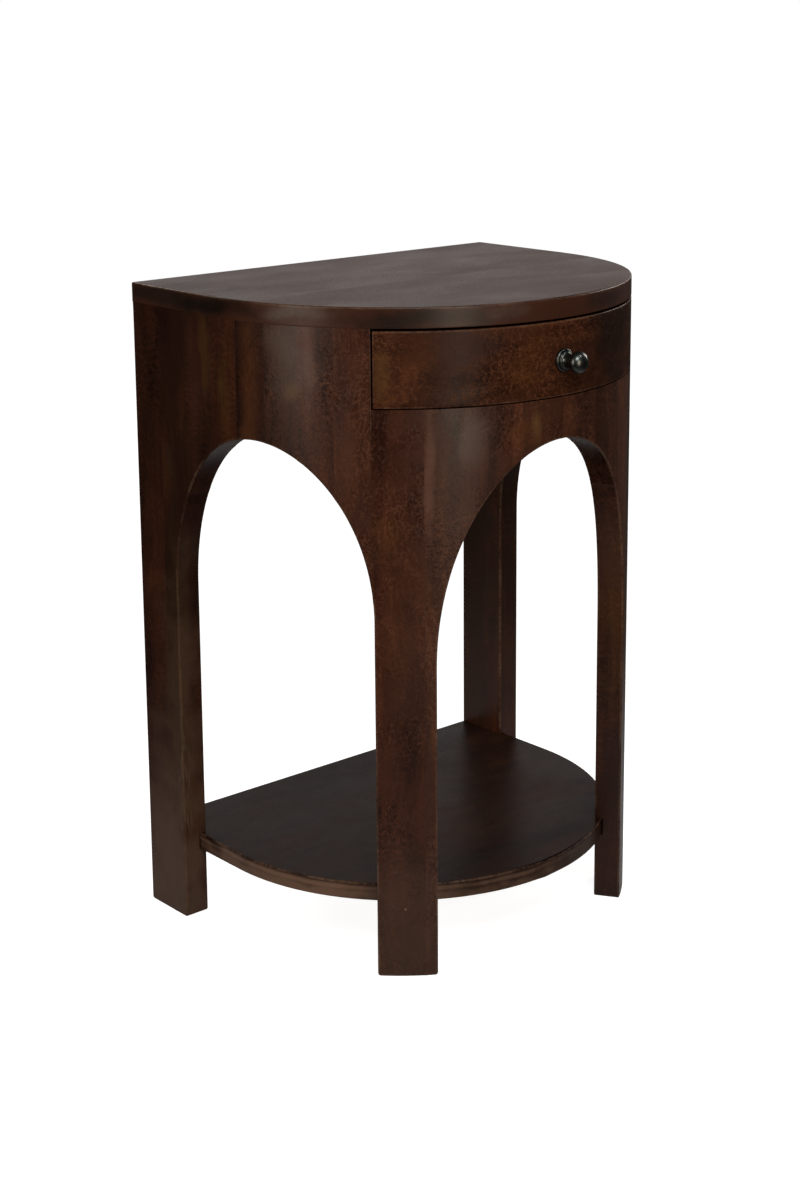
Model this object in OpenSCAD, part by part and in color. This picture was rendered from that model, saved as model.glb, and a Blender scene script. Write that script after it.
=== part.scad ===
// Bow-fronted bedside table with three arches, one drawer and a low shelf.
// The flat back faces +Y and the drawer opens towards -Y. The floor is z = 0.
// The case is a shell of upright glued staves. Its two flat sides run forward
// from the back and meet a half-round bow, and the legs are what the arches leave.
// Distances along the outside of the shell start at the middle of the bow and
// are called reach. They grow towards +X, and the left half has negative ones.

/* [Case] */
// Width across the two flat sides
body_w = 458; // [440:2:480]
// Depth from the flat back to the middle of the bow
body_d = 356; // [336:2:380]
// Height of the top surface above the floor
body_h = 635; // [600:5:680]
// Thickness of the staves
wall_t = 26; // [24:1:28]
// Thickness of the top
top_t = 19; // [17:1:24]

/* [Arches and legs] */
// Width of each rear leg
rear_leg_w = 61; // [54:1:70]
// Width of each front leg, measured round the bow
front_leg_w = 57; // [50:1:64]
// Width of the front arch, measured round the bow
front_arch_w = 261; // [240:1:272]
// Height of the front arch above the point where its curve starts
front_arch_rise = 203; // [150:1:230]
// Height of wood between the front arch and the drawer opening
front_rail_h = 39; // [34:1:60]
// Height of each side arch above the point where its curve starts
side_arch_rise = 163; // [130:1:200]
// Height of wood between a side arch and the top
side_apron_h = 109; // [106:1:130]
// Width that the seam beside a front leg stands out of the leg
seam_lap = 1; // [0.8:0.1:2]

/* [Staves and boards] */
// Number of staves in each flat side
flat_staves = 3; // [2:1:4]
// Number of staves in the curve between a flat side and the drawer
curved_staves = 5; // [3:1:6]
// Number of staves below the drawer
front_staves = 8; // [6:2:8]
// Number of boards glued edge to edge in the top
top_boards = 4; // [3:1:5]

/* [Shelf] */
// Thickness of the shelf
shelf_t = 17; // [14:1:22]
// Height of the shelf's upper face
shelf_top_z = 84; // [70:1:120]
// Distance from the outside of the legs to the shelf's edge
shelf_inset = 19; // [17:0.5:21]
// Depth that each housing is cut past the shelf's edge
housing_gap = 1.5; // [0.5:0.1:2.5]
// Height that each housing leaves free above the shelf
housing_play = 0.3; // [0.1:0.1:0.6]

/* [Drawer front and knob] */
// Height of the drawer opening
opening_h = 73; // [68:1:84]
// Gap above the drawer front
gap_above = 2.5; // [1.5:0.1:3.5]
// Gap below the drawer front
gap_below = 1; // [0.6:0.1:2]
// Gap at each end of the drawer front
gap_end = 1.5; // [1:0.1:3]
// Largest diameter of the knob's head
knob_d = 20.5; // [18:0.5:28]
// Diameter of the knob's base
knob_base_d = 21.4; // [18:0.2:26]
// Diameter of the knob's neck
knob_neck_d = 12; // [9:0.5:14]
// Distance that the knob stands out
knob_out = 27; // [24:0.5:34]
// Distance of the knob below the middle of the drawer front
knob_drop = 1.5; // [0:0.5:6]

/* [Drawer box] */
// Width over the drawer's sides
drawer_box_w = 274; // [262:2:280]
// Thickness of the drawer's sides and back
drawer_side_t = 12; // [10:1:14]
// Height of the drawer's sides
drawer_side_h = 56; // [46:1:58]
// Depth that the sides are let into the drawer front
side_housing = 4; // [3:0.5:6]
// Thickness of the drawer's bottom
drawer_bottom_t = 6; // [4:1:8]
// Depth of the grooves that hold the drawer's bottom
groove_d = 5; // [4:0.5:6]
// Height of the drawer's bottom above the lower edge of the sides
groove_z = 8; // [6:1:12]

/* [Drawer carriage] */
// Thickness of the back rail
back_rail_t = 18; // [15:1:24]
// Height of the back rail
back_rail_h = 135; // [125:1:150]
// Height of each runner
runner_h = 22; // [16:1:26]
// Width of the runner that lies inside the drawer's outer face
runner_overlap_w = 19; // [14:1:24]
// Width of each guide strip
guide_w = 12; // [9:1:14]
// Height of each guide strip
guide_h = 18; // [12:1:24]
// Width of the bearer behind the front staves
bearer_w = 45; // [35:1:60]
// Distance of the bearer's upper face below the runners
bearer_drop = 2; // [1:0.5:4]
// Length of each stop block behind the drawer
stop_l = 14; // [8:1:20]
// Side length of the square top cleats
cleat_side = 20; // [18:1:24]

/* [Fits] */
// Gap between pieces that slide on each other
slide_gap = 0.3; // [0.2:0.05:0.6]
// Gap between the drawer's sides and the guide strips
side_play = 1; // [0.6:0.1:1.6]
// Gap between the drawer's sides and the kickers above them
kicker_gap = 2; // [1:0.1:4]
// Gap between the drawer and its stop blocks
stop_gap = 0.4; // [0.3:0.1:1]
// Gap between the drawer front and the strips behind it
front_clear = 3; // [2:0.5:5]
// Gap on each face of a board in its groove or housing
joint_gap = 0.1; // [0.05:0.05:0.2]
// Gap round a screw or dowel in its hole
hole_gap = 0.1; // [0.05:0.05:0.2]

/* [Fasteners] */
// Diameter of the case screws
screw_d = 4; // [3.5:0.5:5]
// Diameter of the drawer box screws
small_screw_d = 3; // [2.5:0.5:3.5]
// Depth that the back rail's screws enter the runners
runner_bite = 30; // [20:1:40]
// Depth that the drawer's screws enter its back
drawer_bite = 14; // [10:1:20]
// Diameter of the dowels
dowel_d = 8; // [6:1:10]
// Length of the dowels
dowel_l = 40; // [34:1:44]
// Depth of each dowel in a stave
dowel_in_stave = 13; // [10:1:15]
// Diameter of the knob's screw
knob_screw_d = 4; // [3:0.5:5]
// Depth that the knob's screw enters the knob
knob_thread_l = 11; // [8:1:14]
// Outer diameter of the knob's washer
washer_d = 12; // [10:0.5:15]
// Thickness of the knob's washer
washer_t = 1; // [0.8:0.1:1.6]

/* [Hidden] */
$fn = 96;
// Length that a cutting shape runs past what it cuts
over = 5;
// Number of straight steps round each arch
arch_steps = 44;
// Screw heads as shares of the shank's diameter
head_ratio = 2;
head_slope = 0.55;
point_ratio = 1.5;
// Places of the dowels and screws, as shares of the length or height they hold
dowel_spots = [1 / 5, 4 / 5];
kicker_spots = [1 / 8, 1 / 2, 7 / 8];
top_screw_spots = [1 / 7, 6 / 7];
cleat_screw_spots = [2 / 7, 5 / 7];
drawer_screw_spots = [2 / 5, 4 / 5];

bow_r = body_w / 2;
bow_y = bow_r - body_d;
inner_r = bow_r - wall_t;
case_h = body_h - top_t;
back_y = (body_d + knob_out) / 2;

quarter = bow_r * PI / 2;
half_reach = quarter + body_d - bow_r;
seam_reach = front_arch_w / 2 + front_leg_w + seam_lap;
rear_jamb = half_reach - rear_leg_w;
front_jamb = seam_reach - seam_lap;

opening_z = case_h - opening_h;
front_apex_z = opening_z - front_rail_h;
front_spring_z = front_apex_z - front_arch_rise;
side_apex_z = case_h - side_apron_h;
side_spring_z = side_apex_z - side_arch_rise;

flat_stave_w = (half_reach - quarter) / flat_staves;
curved_stave_w = (quarter - seam_reach) / curved_staves;
front_stave_w = 2 * seam_reach / front_staves;
side_staves = flat_staves + curved_staves;
top_board_w = body_d / top_boards;

front_z0 = opening_z + gap_below;
front_z1 = case_h - gap_above;
front_half_angle = angle_of(seam_reach - gap_end);
knob_z = (front_z0 + front_z1) / 2 - knob_drop;

box_half = drawer_box_w / 2;
box_inner = box_half - drawer_side_t;
side_z0 = opening_z + slide_gap;
side_z1 = side_z0 + drawer_side_h;
side_front_y = bow_at(box_inner, inner_r) - side_housing;
box_back_y = -(back_rail_t + stop_l + stop_gap);
panel_z0 = side_z0 + groove_z;
panel_half = box_inner + groove_d;
panel_back_y = box_back_y - drawer_side_t + groove_d;

runner_in = box_half - runner_overlap_w;
runner_out = box_half + side_play + guide_w;
runner_mid = (runner_in + runner_out) / 2;
runner_z0 = opening_z - runner_h;
strip_front_y = bow_at(runner_out, inner_r) + front_clear;
kicker_z0 = side_z1 + kicker_gap;
bearer_back_y = bow_at(runner_in, inner_r) + bearer_w;

cleat_y0 = -(back_rail_t + slide_gap);
cleat_y1 = bow_y;
cleat_z0 = case_h - cleat_side;

stop_w = 2 * stop_l;
stop_h = drawer_side_h / 3;
dowel_soft = dowel_d / 8;

// Flat spot inside the drawer front that the knob's washer lies on
spot_depth = 0.5;
spot_y = -body_d + wall_t - spot_depth;
spot_d = washer_d + 10 * hole_gap;

// Holes for the knob's screw, each with its own room round the shank
front_hole_d = knob_screw_d + 6 * hole_gap;
washer_hole_d = knob_screw_d + 4 * hole_gap;
thread_hole_d = knob_screw_d + 2 * hole_gap;

// Turned shape of the knob, as shares of its length and of its base
knob_rim_h = knob_out / 9;
knob_step_r = knob_base_d / 2 * 0.76;
knob_step_h = knob_rim_h * 1.5;
knob_waist_h = knob_out * 0.4;
knob_dome_h = knob_out * 0.3;
// Angles from the knob's widest ring: where the neck meets the head, and one step
knob_neck_angle = -48;
knob_step_angle = 6;

// Screws run through the nearer piece and this share of the farther one
bite = 2 / 3;
runner_screw_l = back_rail_t + runner_bite;
kicker_screw_l = case_h - kicker_z0 + top_t * bite;
top_screw_l = cleat_side + top_t * bite;
cleat_screw_l = cleat_side + wall_t * bite;
drawer_screw_l = drawer_side_t + drawer_bite;

stain = "#3d241a";
bare_wood = "#b08a62";
plywood = "#c9a878";
steel = "#9a9a9c";
black_metal = "#26292b";

// Angle of a reach round the bow
function angle_of(reach) = reach / bow_r * 180 / PI;

// Depth of a circle about the bow's centre at a distance from the middle plane
function bow_at(x, r) = bow_y - sqrt(r * r - x * x);

// Plan position of a reach, at a depth into the shell from its outside
function on_shell(reach, depth) =
    abs(reach) <= quarter
        ? [
            (bow_r - depth) * sin(angle_of(reach)),
            bow_y - (bow_r - depth) * cos(angle_of(reach))
        ]
        : [sign(reach) * (bow_r - depth), bow_y + abs(reach) - quarter];

// Points of a quarter of an ellipse that leaves its start sideways and ends upright
function cove(r0, d0, r1, d1, steps = 8) = [
    for (i = [0:steps])
        let (a = 90 * i / steps)
            [r1 + (r0 - r1) * (1 - sin(a)), d0 + (d1 - d0) * (1 - cos(a))]
];

// Points of a quarter of an ellipse that leaves its start upright and ends sideways
function flare(r0, d0, r1, d1, steps = 8) = [
    for (i = [0:steps])
        let (a = 90 * i / steps)
            [r0 + (r1 - r0) * (1 - cos(a)), d0 + (d1 - d0) * sin(a)]
];

// Moves the case so that the middle of its whole outline lies over the origin
module in_place() translate([0, back_y, 0]) children();

module both_sides() {
    children();
    mirror([1, 0, 0]) children();
}

// Plan of the case, a distance inside its outer face
module plan(inset) {
    r = bow_r - inset;
    translate([0, bow_y])
        intersection() {
            circle(r = r);
            translate([-r, -r]) square([2 * r, r]);
        }
    translate([-r, bow_y]) square([2 * r, -bow_y]);
}

// Part of a ring round the bow's centre between two angles from the middle plane
module bow_sector(a0, a1, r0, r1, z0, z1) {
    translate([0, bow_y, 0])
        rotate([0, 0, a0 - 90])
            rotate_extrude(angle = a1 - a0)
                translate([r0, z0]) square([r1 - r0, z1 - z0]);
}

// Everything below an elliptical arch, cut square to the shell all the way round
module arch_void(middle, half_w, spring_z, rise) {
    rim = [
        for (i = [0:arch_steps])
            let (a = 180 * (1 - i / arch_steps))
                [middle + half_w * cos(a), spring_z + rise * sin(a)]
    ];
    points = [
        for (p = rim)
            let (outer = on_shell(p[0], -over), inner = on_shell(p[0], wall_t + over))
                each [
                    [outer[0], outer[1], -over],
                    [outer[0], outer[1], p[1]],
                    [inner[0], inner[1], p[1]],
                    [inner[0], inner[1], -over]
                ]
    ];
    last = 4 * arch_steps;
    faces = concat(
        [[3, 2, 1, 0], [last, last + 1, last + 2, last + 3]],
        [
            for (i = [0:arch_steps - 1])
                let (a = 4 * i, b = 4 * i + 4)
                    each [
                        [a, a + 1, b + 1, b],
                        [b + 3, b + 2, a + 2, a + 3],
                        [a + 1, a + 2, b + 2],
                        [a + 1, b + 2, b + 1],
                        [a, b, b + 3, a + 3]
                    ]
        ]
    );
    polyhedron(points = points, faces = faces);
}

module front_arch_void() arch_void(0, front_arch_w / 2, front_spring_z, front_arch_rise);

module side_arch_void()
    arch_void(
        -(rear_jamb + front_jamb) / 2,
        (rear_jamb - front_jamb) / 2,
        side_spring_z,
        side_arch_rise
    );

// Slot that takes the edge of the shelf in every leg
module shelf_housing() {
    translate([0, 0, shelf_top_z - shelf_t])
        linear_extrude(shelf_t + housing_play) {
            plan(shelf_inset - housing_gap);
            translate([-(bow_r - shelf_inset + housing_gap), 0])
                square([2 * (bow_r - shelf_inset + housing_gap), over]);
        }
}

// Wood screw along +Z with its flat head's face at z = 0
module wood_screw(d, l) {
    r = d / 2;
    head_h = d * head_slope;
    rotate_extrude()
        polygon([
            [0, 0],
            [r * head_ratio, 0],
            [r, head_h],
            [r, l - d * point_ratio],
            [0, l]
        ]);
}

// Hole that a wood screw lies in, with its mouth at z = 0
module screw_void(d, l) {
    r = d / 2 + hole_gap;
    head_r = d / 2 * head_ratio + hole_gap;
    translate([0, 0, -over]) cylinder(r = head_r, h = over);
    cylinder(r1 = head_r, r2 = r, h = d * head_slope + hole_gap);
    cylinder(r = r, h = l + hole_gap);
}

// Round dowel along +Z, with softened ends
module dowel() {
    r = dowel_d / 2;
    rotate_extrude()
        polygon([
            [0, 0],
            [r - dowel_soft, 0],
            [r, dowel_soft],
            [r, dowel_l - dowel_soft],
            [r - dowel_soft, dowel_l],
            [0, dowel_l]
        ]);
}

module dowel_void() {
    translate([0, 0, -hole_gap])
        cylinder(r = dowel_d / 2 + hole_gap, h = dowel_l + 2 * hole_gap);
}

// Places for the dowels between the back rail and the first staves
module at_back_rail_dowels() {
    both_sides()
        for (share = dowel_spots)
            translate([
                inner_r + dowel_in_stave,
                -back_rail_t / 2,
                case_h - back_rail_h * share
            ])
                rotate([0, -90, 0]) children();
}

// Places for the dowels between the runners and the front staves
module at_runner_dowels() {
    both_sides()
        translate([
            runner_mid,
            bow_at(runner_mid, inner_r) - dowel_in_stave,
            opening_z - runner_h / 2
        ])
            rotate([-90, 0, 0]) children();
}

// Places for the screws through the back rail into the runners
module at_runner_screws() {
    both_sides()
        translate([runner_mid, 0, opening_z - runner_h / 2])
            rotate([90, 0, 0]) children();
}

// Places for the screws up through the kickers into the top
module at_kicker_screws() {
    run = strip_front_y + back_rail_t;
    both_sides()
        for (share = kicker_spots)
            translate([runner_mid, -back_rail_t + run * share, kicker_z0]) children();
}

// Places for the screws up through the cleats into the top
module at_top_screws() {
    run = cleat_y1 - cleat_y0;
    both_sides()
        for (share = top_screw_spots)
            translate([inner_r - cleat_side / 2, cleat_y0 + run * share, cleat_z0])
                children();
}

// Places for the screws through the cleats into the flat sides
module at_cleat_screws() {
    run = cleat_y1 - cleat_y0;
    both_sides()
        for (share = cleat_screw_spots)
            translate([inner_r - cleat_side, cleat_y0 + run * share, case_h - cleat_side / 2])
                rotate([0, 90, 0]) children();
}

// Places for the screws through the drawer's sides into its back
module at_drawer_screws() {
    both_sides()
        for (share = drawer_screw_spots)
            translate([
                box_half,
                box_back_y - drawer_side_t / 2,
                side_z0 + drawer_side_h * share
            ])
                rotate([0, -90, 0]) children();
}

// Stave of a flat side, counted from the back
module flat_stave(i) {
    translate([-bow_r, -i * flat_stave_w, 0]) cube([wall_t, flat_stave_w, case_h]);
}

// Stave of the curve between a flat side and the drawer, counted from the flat side
module curved_stave(i) {
    bow_sector(
        -angle_of(quarter - (i - 1) * curved_stave_w),
        -angle_of(quarter - i * curved_stave_w),
        inner_r,
        bow_r,
        0,
        case_h
    );
}

// Stave of the left side, counted from the back, with all that is cut into it
module side_stave(i) {
    color(stain)
        difference() {
            if (i <= flat_staves) flat_stave(i);
            else curved_stave(i - flat_staves);
            side_arch_void();
            if (i <= flat_staves) shelf_housing();
            if (i <= flat_staves) at_back_rail_dowels() dowel_void();
            if (i <= flat_staves) at_cleat_screws() screw_void(screw_d, cleat_screw_l);
            else at_runner_dowels() dowel_void();
        }
}

module left_stave(i) in_place() side_stave(i);

module right_stave(i) in_place() mirror([1, 0, 0]) side_stave(i);

// Stave below the left half of the drawer, counted from the seam beside the leg
module half_front_stave(i) {
    start = -seam_reach + (i - 1) * front_stave_w;
    color(stain)
        difference() {
            bow_sector(
                angle_of(start),
                angle_of(start + front_stave_w),
                inner_r,
                bow_r,
                0,
                opening_z
            );
            front_arch_void();
            if (i == 1) side_arch_void();
            shelf_housing();
            at_runner_dowels() dowel_void();
        }
}

// Stave below the drawer, counted from the left, with the right half mirrored
module front_stave(i) {
    in_place()
        if (i <= front_staves / 2) half_front_stave(i);
        else mirror([1, 0, 0]) half_front_stave(front_staves + 1 - i);
}

// Board of the top, counted from the back
module top_board(i) {
    in_place()
        color(stain)
            difference() {
                translate([0, 0, case_h])
                    linear_extrude(top_t)
                        intersection() {
                            plan(0);
                            translate([-bow_r, -i * top_board_w])
                                square([body_w, top_board_w]);
                        }
                at_kicker_screws() screw_void(screw_d, kicker_screw_l);
                at_top_screws() screw_void(screw_d, top_screw_l);
            }
}

module shelf() {
    in_place()
        color(stain)
            translate([0, 0, shelf_top_z - shelf_t])
                linear_extrude(shelf_t) plan(shelf_inset);
}

module back_rail() {
    in_place()
        color(stain)
            difference() {
                translate([-inner_r, -back_rail_t, case_h - back_rail_h])
                    cube([2 * inner_r, back_rail_t, back_rail_h]);
                at_back_rail_dowels() dowel_void();
                at_runner_screws() screw_void(screw_d, runner_screw_l);
            }
}

module back_rail_dowels() in_place() color(bare_wood) at_back_rail_dowels() dowel();

// Board behind the front staves that ties the two runners together
module front_bearer() {
    in_place()
        color(bare_wood)
            translate([0, 0, runner_z0])
                linear_extrude(runner_h - bearer_drop)
                    intersection() {
                        plan(wall_t);
                        translate([-runner_in, -body_d])
                            square([2 * runner_in, body_d + bearer_back_y]);
                    }
}

// Blocks on the back rail that stop the drawer with its front flush
module drawer_stops() {
    in_place()
        color(bare_wood)
            both_sides()
                translate([box_inner / 2, -back_rail_t - stop_l, side_z0 + stop_h])
                    cube([stop_w, stop_l, stop_h]);
}

// Strip under one side of the drawer
module runner() {
    color(bare_wood)
        difference() {
            translate([0, 0, runner_z0])
                linear_extrude(runner_h)
                    intersection() {
                        plan(wall_t);
                        translate([runner_in, -body_d])
                            square([runner_out - runner_in, body_d - back_rail_t]);
                    }
            at_runner_dowels() dowel_void();
            at_runner_screws() screw_void(screw_d, runner_screw_l);
        }
}

module left_runner() in_place() mirror([1, 0, 0]) runner();

module right_runner() in_place() runner();

module runner_dowels() in_place() color(bare_wood) at_runner_dowels() dowel();

module runner_screws()
    in_place() color(steel) at_runner_screws() wood_screw(screw_d, runner_screw_l);

// Strip on a runner that keeps the drawer straight
module guide() {
    color(bare_wood)
        translate([box_half + side_play, strip_front_y, opening_z])
            cube([guide_w, -strip_front_y - back_rail_t, guide_h]);
}

module left_guide() in_place() mirror([1, 0, 0]) guide();

module right_guide() in_place() guide();

// Strip under the top that keeps the open drawer from tipping
module kicker() {
    color(bare_wood)
        difference() {
            translate([runner_in, strip_front_y, kicker_z0])
                cube([runner_out - runner_in, -strip_front_y - back_rail_t, case_h - kicker_z0]);
            at_kicker_screws() screw_void(screw_d, kicker_screw_l);
        }
}

module left_kicker() in_place() mirror([1, 0, 0]) kicker();

module right_kicker() in_place() kicker();

module kicker_screws()
    in_place() color(steel) at_kicker_screws() wood_screw(screw_d, kicker_screw_l);

// Strip in the corner between a flat side and the top
module top_cleat() {
    color(bare_wood)
        difference() {
            translate([inner_r - cleat_side, cleat_y1, cleat_z0])
                cube([cleat_side, cleat_y0 - cleat_y1, cleat_side]);
            at_top_screws() screw_void(screw_d, top_screw_l);
            at_cleat_screws() screw_void(screw_d, cleat_screw_l);
        }
}

module left_top_cleat() in_place() mirror([1, 0, 0]) top_cleat();

module right_top_cleat() in_place() top_cleat();

module cleat_screws()
    in_place() color(steel) at_cleat_screws() wood_screw(screw_d, cleat_screw_l);

module top_screws()
    in_place() color(steel) at_top_screws() wood_screw(screw_d, top_screw_l);

// Curved front, with a slot for each side, a groove for the bottom and the knob's hole
module drawer_front() {
    groove_angle = asin(panel_half / (inner_r + groove_d));
    in_place()
        color(stain)
            difference() {
                bow_sector(-front_half_angle, front_half_angle, inner_r, bow_r, front_z0, front_z1);
                both_sides()
                    translate([
                        box_inner - joint_gap,
                        side_front_y - joint_gap,
                        front_z0 - over
                    ])
                        cube([
                            drawer_side_t + 2 * joint_gap,
                            -side_front_y,
                            side_z1 - front_z0 + over + joint_gap
                        ]);
                bow_sector(
                    -groove_angle,
                    groove_angle,
                    inner_r - over,
                    inner_r + groove_d + joint_gap,
                    panel_z0 - joint_gap,
                    panel_z0 + drawer_bottom_t + joint_gap
                );
                translate([0, -body_d, knob_z])
                    rotate([-90, 0, 0])
                        translate([0, 0, -over])
                            cylinder(d = front_hole_d, h = wall_t + 2 * over);
                translate([0, spot_y, knob_z])
                    rotate([-90, 0, 0]) cylinder(d = spot_d, h = over);
            }
}

// Side of the drawer box, on the right
module drawer_side() {
    color(bare_wood)
        difference() {
            translate([box_inner, side_front_y, side_z0])
                cube([drawer_side_t, box_back_y - side_front_y, drawer_side_h]);
            translate([
                box_inner - over,
                side_front_y - over,
                panel_z0 - joint_gap
            ])
                cube([
                    over + groove_d + joint_gap,
                    panel_back_y - side_front_y + over + joint_gap,
                    drawer_bottom_t + 2 * joint_gap
                ]);
            at_drawer_screws() screw_void(small_screw_d, drawer_screw_l);
        }
}

module drawer_right_side() in_place() drawer_side();

module drawer_left_side() in_place() mirror([1, 0, 0]) drawer_side();

module drawer_back() {
    in_place()
        color(bare_wood)
            difference() {
                translate([-box_inner, box_back_y - drawer_side_t, side_z0])
                    cube([2 * box_inner, drawer_side_t, drawer_side_h]);
                translate([
                    -box_inner - over,
                    box_back_y - drawer_side_t - over,
                    panel_z0 - joint_gap
                ])
                    cube([
                        2 * (box_inner + over),
                        over + groove_d + joint_gap,
                        drawer_bottom_t + 2 * joint_gap
                    ]);
                at_drawer_screws() screw_void(small_screw_d, drawer_screw_l);
            }
}

module drawer_bottom() {
    in_place()
        color(plywood)
            translate([0, 0, panel_z0])
                linear_extrude(drawer_bottom_t)
                    intersection() {
                        plan(wall_t - groove_d);
                        translate([-panel_half, -body_d])
                            square([2 * panel_half, body_d + panel_back_y]);
                    }
}

module drawer_screws()
    in_place() color(steel) at_drawer_screws() wood_screw(small_screw_d, drawer_screw_l);

// Turned knob: stepped base, waisted neck and domed head, along +Z from its seat
module knob_shape() {
    base_r = knob_base_d / 2;
    head_r = knob_d / 2;
    neck_r = knob_neck_d / 2;
    soft = knob_rim_h / 2;
    head_z = knob_out - knob_dome_h;
    rotate_extrude()
        polygon(concat(
            [[0, 0], [base_r, 0]],
            [for (a = [0:15:90]) [base_r - soft * (1 - cos(a)), soft * (1 + sin(a))]],
            cove(knob_step_r, knob_step_h, neck_r, knob_waist_h),
            flare(
                neck_r,
                knob_waist_h,
                head_r * cos(knob_neck_angle),
                head_z + knob_dome_h * sin(knob_neck_angle)
            ),
            [
                for (a = [knob_neck_angle + knob_step_angle : knob_step_angle : 90 - knob_step_angle])
                    [head_r * cos(a), head_z + knob_dome_h * sin(a)]
            ],
            [[0, knob_out]]
        ));
}

module knob() {
    in_place()
        color(black_metal)
            translate([0, -body_d, knob_z])
                rotate([90, 0, 0])
                    difference() {
                        knob_shape();
                        translate([0, 0, -over])
                            cylinder(d = thread_hole_d, h = over + knob_thread_l + hole_gap);
                    }
}

module knob_washer() {
    in_place()
        color(steel)
            translate([0, spot_y, knob_z])
                rotate([-90, 0, 0])
                    difference() {
                        cylinder(d = washer_d, h = washer_t);
                        translate([0, 0, -over])
                            cylinder(d = washer_hole_d, h = washer_t + 2 * over);
                    }
}

// Machine screw from inside the drawer into the knob
module knob_screw() {
    head_h = knob_screw_d * head_slope;
    shank_l = spot_y + washer_t + body_d + knob_thread_l;
    in_place()
        color(steel)
            translate([0, spot_y + washer_t, knob_z])
                rotate([-90, 0, 0])
                    rotate_extrude()
                        polygon([
                            [0, -shank_l],
                            [knob_screw_d / 2, -shank_l],
                            [knob_screw_d / 2, 0],
                            [knob_screw_d, 0],
                            [knob_screw_d, head_h / 2],
                            [knob_screw_d / 2, head_h],
                            [0, head_h]
                        ]);
}

for (i = [1:top_boards])
    top_board(i);
for (i = [1:side_staves])
    left_stave(i);
for (i = [1:side_staves])
    right_stave(i);
for (i = [1:front_staves])
    front_stave(i);
shelf();
back_rail();
back_rail_dowels();
front_bearer();
drawer_stops();
left_runner();
right_runner();
runner_dowels();
runner_screws();
left_guide();
right_guide();
left_kicker();
right_kicker();
kicker_screws();
left_top_cleat();
right_top_cleat();
cleat_screws();
top_screws();
drawer_front();
drawer_left_side();
drawer_right_side();
drawer_back();
drawer_bottom();
drawer_screws();
knob();
knob_washer();
knob_screw();
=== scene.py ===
"""Looks of a bow-fronted bedside table: stained coopered wood with a black metal knob."""

import logging
import math
from collections.abc import Callable, Sequence
from dataclasses import dataclass, field, replace
from enum import Enum

import bmesh
import bpy
import numpy as np
from mathutils import Matrix

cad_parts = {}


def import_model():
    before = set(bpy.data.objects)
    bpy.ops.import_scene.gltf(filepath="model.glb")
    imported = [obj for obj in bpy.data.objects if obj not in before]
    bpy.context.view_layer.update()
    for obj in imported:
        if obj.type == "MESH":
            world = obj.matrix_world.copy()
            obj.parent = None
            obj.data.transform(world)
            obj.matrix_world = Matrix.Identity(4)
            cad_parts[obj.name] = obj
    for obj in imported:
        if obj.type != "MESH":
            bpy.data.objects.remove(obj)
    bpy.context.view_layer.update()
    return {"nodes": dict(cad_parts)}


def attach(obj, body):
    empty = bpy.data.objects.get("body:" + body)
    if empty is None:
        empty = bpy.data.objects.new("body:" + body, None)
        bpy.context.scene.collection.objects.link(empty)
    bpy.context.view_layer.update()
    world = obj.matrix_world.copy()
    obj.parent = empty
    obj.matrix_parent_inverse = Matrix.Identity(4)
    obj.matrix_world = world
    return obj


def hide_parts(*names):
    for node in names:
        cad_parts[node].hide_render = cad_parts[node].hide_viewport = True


LOG = logging.getLogger("bedside_table")

Colour = tuple[float, float, float]
Triple = tuple[float, float, float]
Array = np.ndarray
Place = Callable[[Array, Array, Array], Array]
Node = bpy.types.Node
Socket = bpy.types.NodeSocket
Value = float | Sequence[float] | Socket

QUARTER_TURN = math.pi / 2
FULL_TURN = 2 * math.pi
ORIGIN = (0.0, 0.0, 0.0)
HALVES = (0.5, 0.5, 0.5)
MIRRORED = np.array([-1.0, 1.0])
WHITE = (1.0, 1.0, 1.0)
PANEL_WHITE = (1.0, 0.93, 0.9)
FILL_WHITE = (1.0, 0.93, 0.87)
SUNSET = (1.0, 0.87, 0.76)
AMBER = (1.0, 0.84, 0.67)

# Places that the lamps face: the middle of the case, a place behind it, and the drawer.
AIM_LOW = (0.0, 0.0, 0.35)
AIM_REAR = (0.0, 0.1, 0.35)
AIM_HIGH = (0.0, 0.0, 0.6)

# Lengths in metres: what keeps a division defined, an edge of no length, and the gap
# between two points that are merged.
TINY = 1e-9
NO_LENGTH = 1e-7
DOUBLES = 2e-6

# Sine of the turn under which two edges of an outline count as in line.
IN_LINE = 0.12
# Rounds in which edges of no length take a direction, and passed points join a corner.
DIRECTION_ROUNDS = 3
JOINING_ROUNDS = 12

# Angle in degrees above which an edge stays sharp.
SHARP_FROM = 38.0
# Name of the mesh attribute that holds the wear of each vertex.
ARRIS = "arris"


class Grain(Enum):
    """Way that a board's grain runs, as the turn that brings it onto the pattern's Z."""

    UPRIGHT = ORIGIN
    ACROSS = (0.0, QUARTER_TURN, 0.0)
    DEEP = (QUARTER_TURN, 0.0, 0.0)


class Side(Enum):
    """Side of the case that a piece belongs to, as the sign of its reach."""

    LEFT = -1
    RIGHT = 1


def pairs(first: Array | float, second: Array | float) -> Array:
    """Points with two coordinates in the last axis. A single number serves all of them."""
    return np.stack(np.broadcast_arrays(first, second), axis=-1)


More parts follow.
